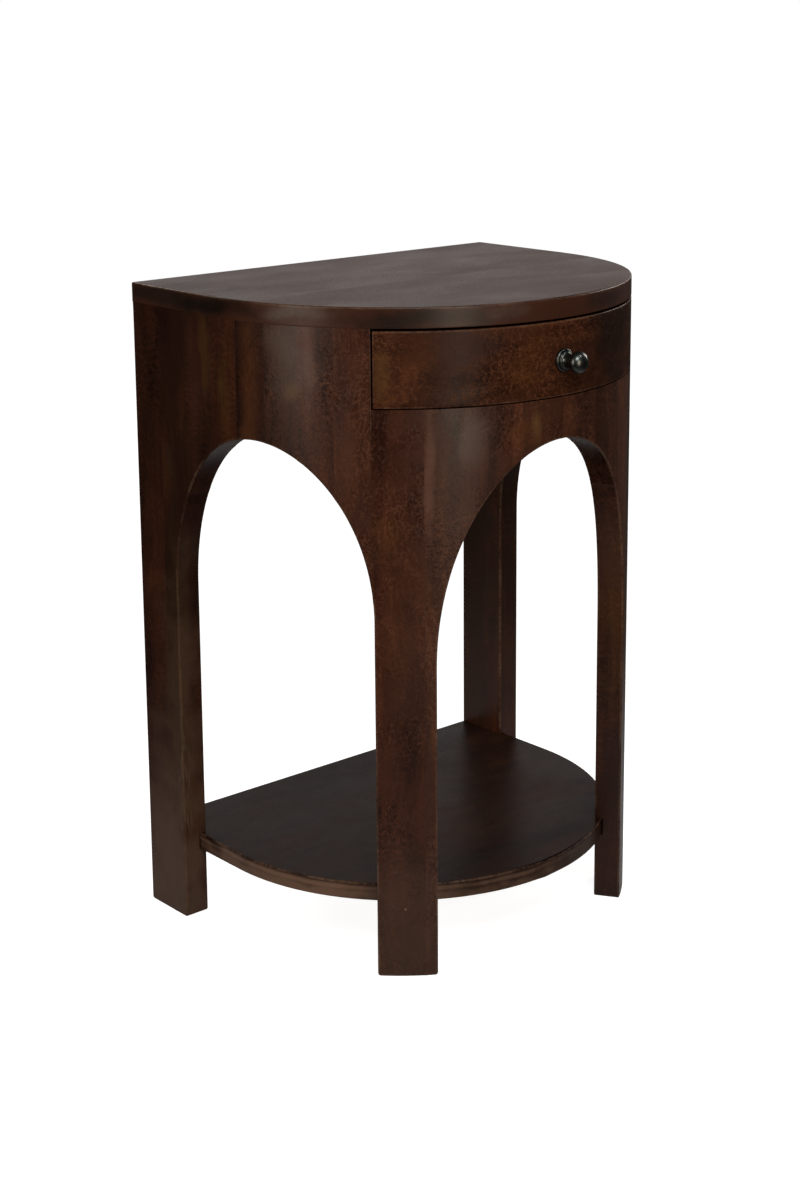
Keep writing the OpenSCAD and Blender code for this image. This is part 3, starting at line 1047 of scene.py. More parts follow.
class ShaderShelf:
    """Shader groups that several finishes share, each built once."""

    patch_wander: Triple = (1.7, 1.7, 1.7)
    wipe_stretch: Triple = (0.25, 1.0, 1.0)
    pale_cells: float = 34.0
    dark_cells: float = 27.0

    def __init__(self) -> None:
        """Builds all the groups."""
        self.figure = Figure().build()
        self.arris = self._worn_arris()
        self.patch = self._patch()
        self.specks = self._specks()
        self.marks = self._handling_marks()

    def rubbed(self, w: Wiring, where: Socket, amount: float) -> Socket:
        """Mask of the worn arrises of a piece.

        Args:
            w: Wiring of the material.
            where: Place on the piece.
            amount: Strength of the wear.

        Returns:
            The mask.
        """
        arris = w.add("ShaderNodeAttribute", {"attribute_name": ARRIS}).outputs["Fac"]
        worn = w.group(self.arris, Vector=where, Arris=arris, Amount=amount)
        return worn.outputs["Mask"]

    @staticmethod
    def _worn_arris() -> bpy.types.NodeTree:
        """Mask of a rounded edge whose stain has rubbed thin, broken up by noise.

        Returns:
            The group.
        """
        w, i, leave = GroupSockets(
            (("Vector", VECTOR, ORIGIN), ("Arris", FLOAT, 0.0), ("Amount", FLOAT, 0.5)),
            (("Mask", FLOAT),),
        ).make("worn_arris")
        long_part = w.times(w.noise(i["Vector"], LONG_WEAR), LONG_WEAR.gain)
        short_part = w.times(w.noise(i["Vector"], SHORT_WEAR), SHORT_WEAR.gain)
        broken = w.smooth(w.plus(long_part, short_part), Step.WEAR)
        reach = w.smooth(i["Arris"], Step.ARRIS)
        w.put(leave.inputs["Mask"], w.times(w.times(broken, reach), i["Amount"]))
        return w.tree

    @classmethod
    def _patch(cls) -> bpy.types.NodeTree:
        """Mask of a soft-edged place, bent by noise and broken into streaks.

        The mask is a smooth step of the distance from the place's middle, counted in
        shares of its size.

        Returns:
            The group.
        """
        w, i, leave = GroupSockets(
            (
                ("Vector", VECTOR, ORIGIN),
                ("Centre", VECTOR, ORIGIN),
                ("Size", VECTOR, (1.0, 1.0, 1.0)),
                ("Grain", VECTOR, ORIGIN),
                ("Broken", FLOAT, 0.0),
            ),
            (("Mask", FLOAT),),
        ).make("tone_patch")
        away = w.vector("SUBTRACT", i["Vector"], i["Centre"])
        share = w.vector("DIVIDE", away, i["Size"])
        bent = w.vector("ADD", share, w.drift(i["Vector"], PATCH_EDGE, cls.patch_wander))
        near = w.smooth(w.vector("LENGTH", bent), Step.PATCH)
        streaks = w.smooth(w.noise(i["Grain"], PATCH_STREAKS), Step.BROKEN)
        kept = w.plus(w.times(w.less(streaks, 1.0), i["Broken"]), 1.0)
        w.put(leave.inputs["Mask"], w.times(near, kept, clamp=True))
        return w.tree

    @classmethod
    def _specks(cls) -> bpy.types.NodeTree:
        """Masks of a few pin-sized pale specks and dark pits, one to a cell here and there.

        Returns:
            The group.
        """
        w, i, leave = GroupSockets(
            (
                ("Vector", VECTOR, ORIGIN),
                ("Pale Share", FLOAT, 0.3),
                ("Dark Share", FLOAT, 0.3),
            ),
            (("Pale", FLOAT), ("Dark", FLOAT)),
        ).make("pin_specks")
        for label, scale in (("Pale", cls.pale_cells), ("Dark", cls.dark_cells)):
            cell = w.add(
                "ShaderNodeTexVoronoi", {"feature": "F1"}, Vector=i["Vector"], Scale=scale
            )
            dot = w.smooth(cell.outputs["Distance"], Step.SPECK)
            parts = w.add("ShaderNodeSeparateColor", {}, Color=cell.outputs["Color"])
            chosen = w.math("LESS_THAN", parts.outputs[0], i[f"{label} Share"])
            w.put(leave.inputs[label], w.times(dot, chosen))
        return w.tree

    @classmethod
    def _handling_marks(cls) -> bpy.types.NodeTree:
        """Change of roughness from wiping and handling: long thin smears and round ones.

        Returns:
            The group.
        """
        w, i, leave = GroupSockets(
            (("Vector", VECTOR, ORIGIN), ("Amount", FLOAT, 0.5)),
            (("Roughness Change", FLOAT),),
        ).make("handling_marks")
        broad = w.times(w.noise(i["Vector"], BROAD_SMEARS), BROAD_SMEARS.gain)
        along = w.vector("MULTIPLY", i["Vector"], cls.wipe_stretch)
        wipe = w.times(w.noise(along, WIPES), WIPES.gain)
        w.put(leave.inputs["Roughness Change"], w.sway(w.plus(broad, wipe), i["Amount"]))
        return w.tree


def blank_material(name: str) -> tuple[bpy.types.Material, Wiring]:
    """Makes a material that has no nodes yet.

    Args:
        name: Name of the material.

    Returns:
        The material and its wiring.
    """
    made = bpy.data.materials.new(name)
    made.use_nodes = True
    made.node_tree.nodes.clear()
    return made, Wiring(made.node_tree)


@dataclass(frozen=True)
class Patch:
    """Place where a board's tone differs: its middle, its size and its own colour."""

    centre: Triple
    size: Triple
    colour: Colour
    strength: float = 0.6
    broken: float = 0.0


@dataclass(frozen=True)
class Look:
    """How one board differs from the rest of its wood.

    The seed chooses which part of the figure the board shows. Tone is a factor on the
    lightness of its colours, and warmth a shift towards red, or towards olive if
    negative. Wear is a factor on the rubbing of its edges, gloss a factor on how much
    it mirrors, and flecks the strength of its smallest spots.
    """

    seed: int
    tone: float = 1.0
    warmth: float = 0.0
    wear: float = 1.0
    gloss: float = 1.0
    flecks: float = 0.3
    patches: tuple[Patch, ...] = ()


@dataclass(frozen=True)
class Wood:
    """Wood finish: its tones, how strong its figure is, and how glossy it is.

    Pale share is the number of pale specks against dark ones. Rubbed gloss is how much
    smoother a worn arris is, and relief the depth of the bump in metres.
    """

    name: str
    dark: Colour
    body: Colour
    light: Colour
    worn: Colour
    streak: float = 1.0
    mottle: float = 1.0
    curl: float = 0.3
    pores: float = 0.5
    roughness: float = 0.42
    specular: float = 0.16
    wear: float = 0.5
    speck: float = 0.3
    pale_share: float = 0.5
    dark_speck: float = 0.8
    pale_speck: float = 0.7
    haze: float = 0.3
    rubbed_gloss: float = 0.08
    bump: float = 0.12
    relief: float = 0.0006
    olive: float = 0.25
    spot_reach: float = 3.0

    def tones(self, look: Look) -> list[Colour]:
        """Dark, body and light colour of one board.

        Each channel is multiplied by the board's tone and by its share of the shift
        towards red or olive.

        Args:
            look: How the board differs from the rest.

        Returns:
            The three colours.
        """
        warmth = look.warmth
        shift = (1.0 + warmth, 1.0 - self.olive * abs(warmth), 1.0 - warmth)
        return [
            tuple(c * look.tone * s for c, s in zip(part, shift))
            for part in (self.dark, self.body, self.light)
        ]

    def material(
        self, shelf: ShaderShelf, label: str, grain: Grain, look: Look
    ) -> bpy.types.Material:
        """Makes the material of one board.

        Args:
            shelf: Shader groups.
            label: Name of the board.
            grain: Way that its grain runs.
            look: How the board differs from the rest.

        Returns:
            The material.
        """
        made, w = blank_material(f"{self.name}_{label}")
        where = w.place()
        rng = np.random.default_rng(look.seed)
        turned = w.add(
            "ShaderNodeMapping",
            {"vector_type": "POINT"},
            Vector=where,
            Location=tuple(rng.uniform(-self.spot_reach, self.spot_reach, 3).tolist()),
            Rotation=grain.value,
        ).outputs["Vector"]
        dark, body, light = self.tones(look)
        figure = w.group(
            shelf.figure,
            Vector=turned,
            Dark=dark,
            Body=body,
            Light=light,
            Streak=self.streak,
            Mottle=self.mottle,
            Curl=self.curl,
            Pores=self.pores,
            Flecks=look.flecks,
        )
        colour = figure.outputs["Color"]
        for patch in look.patches:
            mask = w.group(
                shelf.patch,
                Vector=where,
                Centre=patch.centre,
                Size=patch.size,
                Grain=turned,
                Broken=patch.broken,
            ).outputs["Mask"]
            colour = w.blend(w.times(mask, patch.strength), colour, patch.colour)
        specks = w.group(
            shelf.specks,
            Vector=turned,
            Pale_Share=self.speck * self.pale_share,
            Dark_Share=self.speck,
        )
        dark_specks = w.times(specks.outputs["Dark"], self.dark_speck)
        colour = w.blend(dark_specks, colour, dark)
        pale_specks = w.times(specks.outputs["Pale"], self.pale_speck)
        colour = w.blend(pale_specks, colour, self.worn)
        rubbed = shelf.rubbed(w, where, self.wear * look.wear)
        colour = w.blend(rubbed, colour, self.worn)
        marks = w.group(shelf.marks, Vector=turned, Amount=self.haze)
        plain = w.plus(figure.outputs["Gloss Loss"], self.roughness)
        rough = w.plus(plain, marks.outputs["Roughness Change"])
        bump = w.add(
            "ShaderNodeBump",
            {},
            Strength=self.bump,
            Distance=self.relief,
            Height=figure.outputs["Height"],
        )
        shader = w.add(
            "ShaderNodeBsdfPrincipled",
            {},
            Base_Color=colour,
            Roughness=w.less(rough, w.times(rubbed, self.rubbed_gloss), clamp=True),
            Normal=bump.outputs["Normal"],
            Specular_IOR_Level=self.specular * look.gloss,
        )
        w.surface(shader.outputs["BSDF"])
        made.diffuse_color = (*body, 1.0)
        return made


@dataclass(frozen=True)
class Metal:
    """Metal finish with a slightly uneven polish and rubbed rims.

    Clouds shade the colour by the clouding, down to the dull share of it. Grit is how
    many times finer than the clouds the finest noise is.
    """

    name: str
    colour: Colour
    rubbed: Colour
    roughness: float
    uneven: float = 0.08
    wear: float = 0.4
    scale: float = 160.0
    grit: float = 12.0
    clouding: float = 0.6
    dull: float = 0.62
    bump: float = 0.06
    relief: float = 0.0003

    def material(self, shelf: ShaderShelf) -> bpy.types.Material:
        """Makes the material.

        Args:
            shelf: Shader groups.

        Returns:
            The material.
        """
        made, w = blank_material(self.name)
        where = w.place()
        cloud = w.noise(where, Layer(self.scale, 3.0, 0.6))
        grit = w.noise(where, Layer(self.scale * self.grit, 2.0, 0.6))
        darker = tuple(self.dull * c for c in self.colour)
        shade = w.blend(w.times(cloud, self.clouding), self.colour, darker)
        rubbed = shelf.rubbed(w, where, self.wear)
        sway = w.times(w.less(w.plus(cloud, grit), 1.0), self.uneven)
        bump = w.add(
            "ShaderNodeBump", {}, Strength=self.bump, Distance=self.relief, Height=grit
        )
        shader = w.add(
            "ShaderNodeBsdfPrincipled",
            {},
            Base_Color=w.blend(rubbed, shade, self.rubbed),
            Metallic=1.0,
            Roughness=w.plus(sway, self.roughness, clamp=True),
            Normal=bump.outputs["Normal"],
        )
        w.surface(shader.outputs["BSDF"])
        made.diffuse_color = (*self.colour, 1.0)
        return made


STAIN = Wood(
    "stained_wood",
    dark=(0.0130, 0.0040, 0.0020),
    body=(0.0315, 0.0104, 0.0050),
    light=(0.0640, 0.0220, 0.0088),
    worn=(0.1500, 0.0900, 0.0560),
    streak=0.6,
    mottle=0.6,
    curl=0.2,
    specular=0.18,
    roughness=0.37,
    wear=0.26,
)
TOP_STAIN = replace(
    STAIN,
    name="stained_top",
    streak=0.15,
    mottle=0.16,
    curl=0.06,
    pores=0.25,
    haze=0.06,
    bump=0.04,
    specular=0.2,
)
INNER = Wood(
    "inner_wood",
    dark=(0.260, 0.150, 0.075),
    body=(0.450, 0.290, 0.160),
    light=(0.560, 0.390, 0.240),
    worn=(0.620, 0.460, 0.300),
    streak=0.9,
    mottle=0.35,
    curl=0.05,
    pores=0.35,
    roughness=0.62,
    specular=0.3,
    wear=0.2,
    speck=0.12,
    haze=0.15,
)
PLY = Wood(
    "plywood",
    dark=(0.420, 0.270, 0.140),
    body=(0.560, 0.400, 0.240),
    light=(0.640, 0.490, 0.320),
    worn=(0.660, 0.520, 0.360),
    streak=0.5,
    mottle=0.45,
    curl=0.1,
    pores=0.3,
    roughness=0.66,
    specular=0.3,
    wear=0.1,
    speck=0.1,
    haze=0.15,
)
GUNMETAL = Metal(
    "black_metal",
    colour=(0.062, 0.068, 0.063),
    rubbed=(0.22, 0.23, 0.22),
    roughness=0.3,
    uneven=0.05,
    wear=0.05,
)
STEEL = Metal(
    "steel", colour=(0.52, 0.51, 0.49), rubbed=(0.7, 0.69, 0.66), roughness=0.34
)


class SubAssembly:
    """Common steps for the pieces of a sub-assembly."""

    body: str = "case"
    slot: str = "stained_wood"

    def stand_in(self, piece: bpy.types.Object, node: str) -> None:
        """Makes a piece ride with its body and stand for a node of the model.

        Args:
            piece: The piece.
            node: Name of the node.
        """
        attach(piece, self.body)
        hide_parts(node)
        LOG.info(
            "%s stands for %s: %d vertices", piece.name, node, len(piece.data.vertices)
        )


@dataclass
class Shell(SubAssembly):
    """Coopered shell: the staves of both sides and those below the drawer.

    Arris, seam, head and opening soft are radii of edges: the free ones, the glued
    ones, those under the top, and those beside the drawer. Toe is the radius of a leg's
    lower corners. The front leg's outer side is a free edge up to leg seam z, and glued
    above it. Past jamb keeps the first point of its arch off the jamb. The housing is
    the slot that holds the shelf, and is cut where a stave's foot is lower than above
    floor. Points and rows count the points along the parts of an outline.
    """

    shape: CaseShape
    shelf: ShaderShelf
    side_arch: Arch = Arch(0.3066, 0.1191, 0.344, 0.163)
    front_arch: Arch = Arch(0.0, 0.1305, 0.301, 0.203)
    flat_staves: int = 3
    curved_staves: int = 5
    front_staves: int = 8
    arris: float = 0.0013
    seam: float = 0.0
    head: float = 0.0
    opening_soft: float = 0.0006
    toe: float = 0.0028
    leg_seam_z: float = 0.366
    past_jamb: float = 1e-6
    housing_z: tuple[float, float] = (0.067, 0.0843)
    housing_inset: float = 0.0175
    housing_past: float = 0.02
    housing_soft: float = 1e-5
    above_floor: float = 0.01
    toe_points: int = 5
    floor_points: int = 5
    foot_points: int = 8
    side_points: int = 30
    jamb_points: int = 16
    flank_points: int = 20
    crown_points: int = 18
    jamb_rows: int = 26
    crown_rows: int = 14
    housing_points: int = 90
    housing_rows: int = 24

    @property
    def softness(self) -> tuple[float, float, float, float]:
        """Radii of the foot, last end, head and first end of a stave between two seams."""
        return self.arris, self.seam, self.head, self.seam

    def seams(self) -> list[float]:
        """Places of the seams of one side.

        Returns:
            Their reaches, from the back edge to the drawer.
        """
        shape = self.shape
        flat = np.linspace(shape.half_reach, shape.quarter, self.flat_staves + 1)
        bowed = np.linspace(shape.quarter, shape.seam_reach, self.curved_staves + 1)
        return [*flat, *bowed[1:]]

    def toe_corner(self, reach: float, way: float) -> Array:
        """Rounded lower corner of a leg.

        The points lie on a quarter circle that leaves the side upright and ends flat on
        the floor.

        Args:
            reach: Reach of the leg's side.
            way: Direction of the leg from that side, 1 or -1.

        Returns:
            Points from the side to the floor.
        """
        angle = np.linspace(0.0, QUARTER_TURN, self.toe_points)
        x = reach + way * self.toe * (1 - np.cos(angle))
        return pairs(x, self.toe * (1 - np.sin(angle)))

    def leg_board(
        self, outer: float, seam: float, top: float, side: Array | None = None
    ) -> Outline:
        """Outline of the board at a leg's outer side.

        Each point of its last end, on the seam, lies level with the point of the first
        end that has its number, less what the toe takes off at the foot.

        Args:
            outer: Reach of the leg's outer side at the floor.
            seam: Reach of the seam inside the leg.
            top: Height of the board.
            side: Points of the outer side above the foot, or None where it is straight.

        Returns:
            The outline.
        """
        way = math.copysign(1.0, seam - outer)
        corner = self.toe_corner(outer, way)
        rest = np.linspace(corner[-1, 0], seam, self.foot_points)[1:]
        foot = np.concatenate([corner, pairs(rest, 0.0)])
        if side is None:
            side = pairs(outer, np.linspace(self.toe, top, self.side_points))
            soft = np.full(len(side) - 1, self.arris)
        else:
            side = np.concatenate([corner[:1], side])
            soft = np.where(side[1:, 1] > self.leg_seam_z, self.seam, self.arris)
        share = np.linspace(0.0, 1.0, len(foot))[:, None]
        start = side[-1]
        head = start + (np.array([seam, top]) - start) * share
        below = 1 - (side[:, 1] - self.toe) / (top - self.toe)
        return Outline(
            foot,
            head,
            side,
            pairs(seam, side[:, 1] - self.toe * below),
            np.full(len(foot) - 1, self.arris),
            np.full(len(foot) - 1, self.head),
            soft,
            np.full(len(side) - 1, self.seam),
        )

    def jamb_board(
        self, outer: float, inner: float, jamb: float, arch: Arch, top: float
    ) -> Outline:
        """Outline of the board that ends a leg and runs up over the start of an arch.

        Its foot is the floor end of the leg, then the jamb, then the arch. Lines fan
        out from the jamb to the head.

        Args:
            outer: Reach of the seam inside the leg.
            inner: Reach of the seam above the arch.
            jamb: Reach of the arch's jamb.
            arch: The arch.
            top: Height of the board.

        Returns:
            The outline.
        """
        way = math.copysign(1.0, outer - jamb)
        corner = self.toe_corner(jamb, way)[::-1]
        floor = pairs(np.linspace(outer, corner[0, 0], self.floor_points)[:-1], 0.0)
        upright = pairs(jamb, np.linspace(self.toe, arch.spring_z, self.jamb_points)[1:])
        flank = arch.flank(jamb, inner, self.flank_points)[1:]
        foot = np.concatenate([floor, corner, upright, flank])
        half = 0.5 * (outer + jamb)
        on_head = np.concatenate(
            [
                np.linspace(outer, half, len(floor) + len(corner)),
                np.linspace(half, jamb, len(upright) + 1)[1:],
                flank[:, 0],
            ]
        )
        return Outline.between(foot, pairs(on_head, top), self.jamb_rows, self.softness)

    def crown_board(self, start: float, end: float, arch: Arch, top: float) -> Outline:
        """Outline of a board whose foot is part of an arch.

        Args:
            start: Reach of its first end.
            end: Reach of its last end.
            arch: The arch.
            top: Height of the board.

        Returns:
            The outline.
        """
        foot = arch.flank(start, end, self.crown_points)
        return Outline.between(foot, pairs(foot[:, 0], top), self.crown_rows, self.softness)

    def side_outline(self, number: int) -> Outline:
        """Outline of a side stave on the right.

        Args:
            number: Number of the stave, counted from the back.

        Returns:
            The outline.
        """
        seams = self.seams()
        start, end = seams[number - 1], seams[number]
        top = self.shape.case_top
        jamb = self.side_arch.middle + self.side_arch.half_w
        if number == 1:
            return self.leg_board(start, end, top)
        if number == 2:
            return self.jamb_board(start, end, jamb, self.side_arch, top)
        outline = self.crown_board(start, end, self.side_arch, top)
        if number == len(seams) - 1:
            above = outline.last[:-1, 1] > self.shape.opening_z
            outline.last_soft = np.where(above, self.opening_soft, self.seam)
        return outline

    def front_outline(self, number: int) -> Outline:
        """Outline of a stave below the drawer on the right.

        Args:
            number: Number of the stave, counted from the leg.

        Returns:
            The outline.
        """
        width = 2 * self.shape.seam_reach / self.front_staves
        start = self.shape.seam_reach - (number - 1) * width
        end = start - width
        top = self.shape.opening_z
        if number == 1:
            arch = self.side_arch
            jamb = arch.middle - arch.half_w
            flank = arch.flank(jamb + self.past_jamb, start, self.foot_points)
            z = np.linspace(self.toe, arch.spring_z, self.jamb_points)[1:-1]
            seam = pairs(start, np.linspace(flank[-1, 1], top, self.foot_points)[1:])
            side = np.concatenate([pairs(jamb, z), flank, seam])
            return self.leg_board(jamb, end, top, side)
        if number == 2:
            jamb = self.front_arch.half_w
            return self.jamb_board(start, end, jamb, self.front_arch, top)
        return self.crown_board(start, max(end, 0.0), self.front_arch, top)

    def housing_cutter(self) -> bpy.types.Object:
        """Closed solid of the slot for the shelf, to be cut out of the legs.

        Returns:
            The solid.
        """
        low, high = self.housing_z
        front = self.shape.bow_y - (self.shape.bow_r - self.housing_inset)
        back = self.shape.back_y + self.housing_past
        edge = self.shape.plan_edge(self.housing_inset, back, front, self.housing_points)
        soft = (self.housing_soft,) * 4
        outline = Outline.between(edge, edge * MIRRORED, self.housing_rows, soft)
        slab = Slab(high - low, steps=1, shoulder=2 * self.housing_soft)
        return slab.build("housing_cutter", outline, laid_flat(high))

    def build(self, looks: dict[str, Look]) -> None:
        """Builds and dresses all the staves.

        Args:
            looks: Tone, warmth, seed and patches by the name of the stave.
        """
        slab = Slab(self.shape.wall)
        cutter = self.housing_cutter()
        plans: list[tuple[str, Outline, Side]] = []
        for side in Side:
            word = side.name.lower()
            for number in range(1, len(self.seams())):
                plans.append((f"{word}_stave_{number}", self.side_outline(number), side))
        for number in range(1, self.front_staves // 2 + 1):
            outline = self.front_outline(number)
            other = self.front_staves + 1 - number
            plans.append((f"front_stave_{number}", outline, Side.LEFT))
            plans.append((f"front_stave_{other}", outline, Side.RIGHT))
        for node, outline, side in plans:
            piece = slab.build(f"{node}_board", outline, self.shape.on_side(side))
            if outline.foot[:, 1].min() < self.above_floor:
                cut_with(piece, cutter)
            piece.data.materials.clear()
            piece.data.materials.append(
                STAIN.material(self.shelf, node, Grain.UPRIGHT, looks[node])
            )
            self.stand_in(piece, node)
        bpy.data.objects.remove(cutter)


@dataclass
class FlatBoards(SubAssembly):
    """Flat boards cut to the plan of the case: the top, or the shelf."""

    shape: CaseShape
    shelf: ShaderShelf
    name: str
    nodes: tuple[str, ...]
    upper_z: float
    thickness: float
    inset: float
    arris: float = 0.0012
    seam: float = 0.0
    back_share: float = 1.0
    columns: int = 40
    rows: int = 30
    wood: Wood = STAIN

    def outline(self, number: int) -> Outline:
        """Outline of a board, counted from the back.

        Foot and head are its left and right ends, so each row runs across the case.

        Args:
            number: Number of the board, from 0.

        Returns:
            The outline.
        """
        back = self.shape.back_y
        front = self.shape.bow_y - (self.shape.bow_r - self.inset)
        full_front = self.shape.bow_y - self.shape.bow_r
        count = len(self.nodes)
        step = (back - full_front) / count
        y0 = back - number * step
        y1 = front if number == count - 1 else back - (number + 1) * step
        left = self.shape.plan_edge(self.inset, y0, y1, self.columns)
        first = self.arris if number == 0 else self.seam
        soft = (self.arris, self.seam, self.arris, first)
        return Outline.between(left, left * MIRRORED, self.rows, soft)

    def build(self, looks: Sequence[Look]) -> None:
        """Builds and dresses the boards.

        Args:
            looks: One look for each board.
        """
        slab = Slab(self.thickness, back_share=self.back_share)
        place = laid_flat(self.upper_z)
        for number, (node, look) in enumerate(zip(self.nodes, looks)):
            name = self.name if len(self.nodes) == 1 else f"{self.name}_{number + 1}"
            piece = slab.build(name, self.outline(number), place)
            piece.data.materials.append(
                self.wood.material(self.shelf, node, Grain.ACROSS, look)
            )
            self.stand_in(piece, node)


@dataclass
class DrawerFace(SubAssembly):
    """Curved front of the drawer."""

    shape: CaseShape
    shelf: ShaderShelf
    half_reach: float = 0.187
    low: float = 0.544
    high: float = 0.6135
    arris: float = 0.0009
    columns: int = 90
    rows: int = 16
    body: str = "drawer"

    def build(self, look: Look) -> None:
        """Builds and dresses the front.

        Args:
            look: Tone, seed and patches of its wood.
        """
        reach = np.linspace(-self.half_reach, self.half_reach, self.columns)
        foot, head = pairs(reach, self.low), pairs(reach, self.high)
        outline = Outline.between(foot, head, self.rows, (self.arris,) * 4)
        piece = Slab(self.shape.wall).build("drawer_face", outline, self.shape.on_shell)
        piece.data.materials.append(
            STAIN.material(self.shelf, "drawer_front", Grain.ACROSS, look)
        )
        self.stand_in(piece, "drawer_front")


@dataclass
class Knob(SubAssembly):
    """Turned metal knob: a stepped base, a waisted neck and a domed head.

    Sunk is how far the base goes below the drawer's face, undercut how much narrower
    its foot is, and bulge how far the step's bead stands out. The head's ellipse starts
    at an angle in degrees from its widest ring. The worn ring of the head and its
    spread are angles in radians.
    """

    shelf: ShaderShelf
    seat: Triple = (0.0, -0.1645, 0.57725)
    base_r: float = 0.0107
    rim_h: float = 0.003
    sunk: float = 0.0006
    undercut: float = 0.0004
    step_r: float = 0.00813
    step_h: float = 0.0045
    bulge: float = 0.0006
    neck_r: float = 0.006
    waist_h: float = 0.0108
    head_r: float = 0.01025
    head_from: float = -48.0
    length: float = 0.027
    dome_h: float = 0.0081
    rim_wear: float = 0.8
    bead_wear: float = 0.6
    head_wear: float = 0.7
    worn_ring: float = 0.1
    worn_spread: float = 0.12
    base_rows: int = 10
    neck_rows: int = 16
    head_rows: int = 44
    turns: int = 112
    smooth_angle: float = 35.0
    body: str = "drawer"
    slot: str = "black_metal"

    def profile(self) -> tuple[Array, Array]:
        """Radius and height along the knob, and the wear of its rims.

        The base's rim is half a circle and ends in a small step. Its cove is a quarter
        ellipse, the neck flares by another, and the head is an ellipse from below its
        widest ring up to the pole.

        Returns:
            Points with radius and height in the last axis, and one wear value each.
        """
        soft = self.rim_h / 2
        a = np.linspace(0.0, QUARTER_TURN, self.base_rows)
        half = 2 * a - QUARTER_TURN
        base = pairs(
            self.base_r - self.undercut * (1 - np.sin(a)),
            (self.sunk + soft) * (1 - np.cos(a)) - self.sunk,
        )
        rim = pairs(self.base_r - soft * (1 - np.cos(a)), soft * (1 + np.sin(a)))
        bead = pairs(
            self.step_r + self.bulge * np.cos(half),
            self.rim_h + (self.step_h - self.rim_h) * 0.5 * (1 + np.sin(half)),
        )
        b = np.linspace(0.0, QUARTER_TURN, self.neck_rows)
        cove = pairs(
            self.neck_r + (self.step_r - self.neck_r) * (1 - np.sin(b)),
            self.step_h + (self.waist_h - self.step_h) * (1 - np.cos(b)),
        )
        c = np.linspace(math.radians(self.head_from), QUARTER_TURN, self.head_rows)
        widest = self.length - self.dome_h
        head = pairs(self.head_r * np.cos(c), widest + self.dome_h * np.sin(c))
        flare = pairs(
            self.neck_r + (head[0, 0] - self.neck_r) * (1 - np.cos(b)),
            self.waist_h + (head[0, 1] - self.waist_h) * np.sin(b),
        )
        wear = [
            np.zeros(len(base)),
            np.full(len(rim) - 1, self.rim_wear),
            np.full(len(bead), self.bead_wear),
            np.zeros(len(cove) + len(flare) - 2),
            self.head_wear * np.exp(-((c[1:] - self.worn_ring) ** 2) / self.worn_spread),
        ]
        points = np.concatenate([base, rim[1:], bead, cove[1:], flare[1:], head[1:]])
        return points, np.concatenate(wear)

    def build(self) -> None:
        """Turns the profile about the knob's axis and dresses it."""
        profile, wear = self.profile()
        turn = np.linspace(0.0, FULL_TURN, self.turns, endpoint=False)
        radius = profile[:, 0][:, None]
        x = self.seat[0] + radius * np.cos(turn)
        z = self.seat[2] + radius * np.sin(turn)
        y = self.seat[1] - profile[:, 1][:, None] + 0.0 * turn[None]
        points = np.stack([x, y, z], axis=-1)
        rows, cols = x.shape
        index = np.arange(rows * cols).reshape(rows, cols)
        wrap = np.concatenate([index, index[:, :1]], axis=1)
        hub = rows * cols
        centre = np.array([[self.seat[0], self.seat[1] - profile[0, 1], self.seat[2]]])
        fan = [[int(a), int(b), hub] for a, b in zip(wrap[0, 1:], wrap[0, :-1])]
        piece = make_object(
            "knob_turned",
            np.concatenate([points.reshape(-1, 3), centre]),
            grid_quads(wrap).tolist() + fan,
            np.concatenate([np.repeat(wear, cols), [0.0]]),
            self.smooth_angle,
        )
        piece.data.materials.append(GUNMETAL.material(self.shelf))
        self.stand_in(piece, "knob")


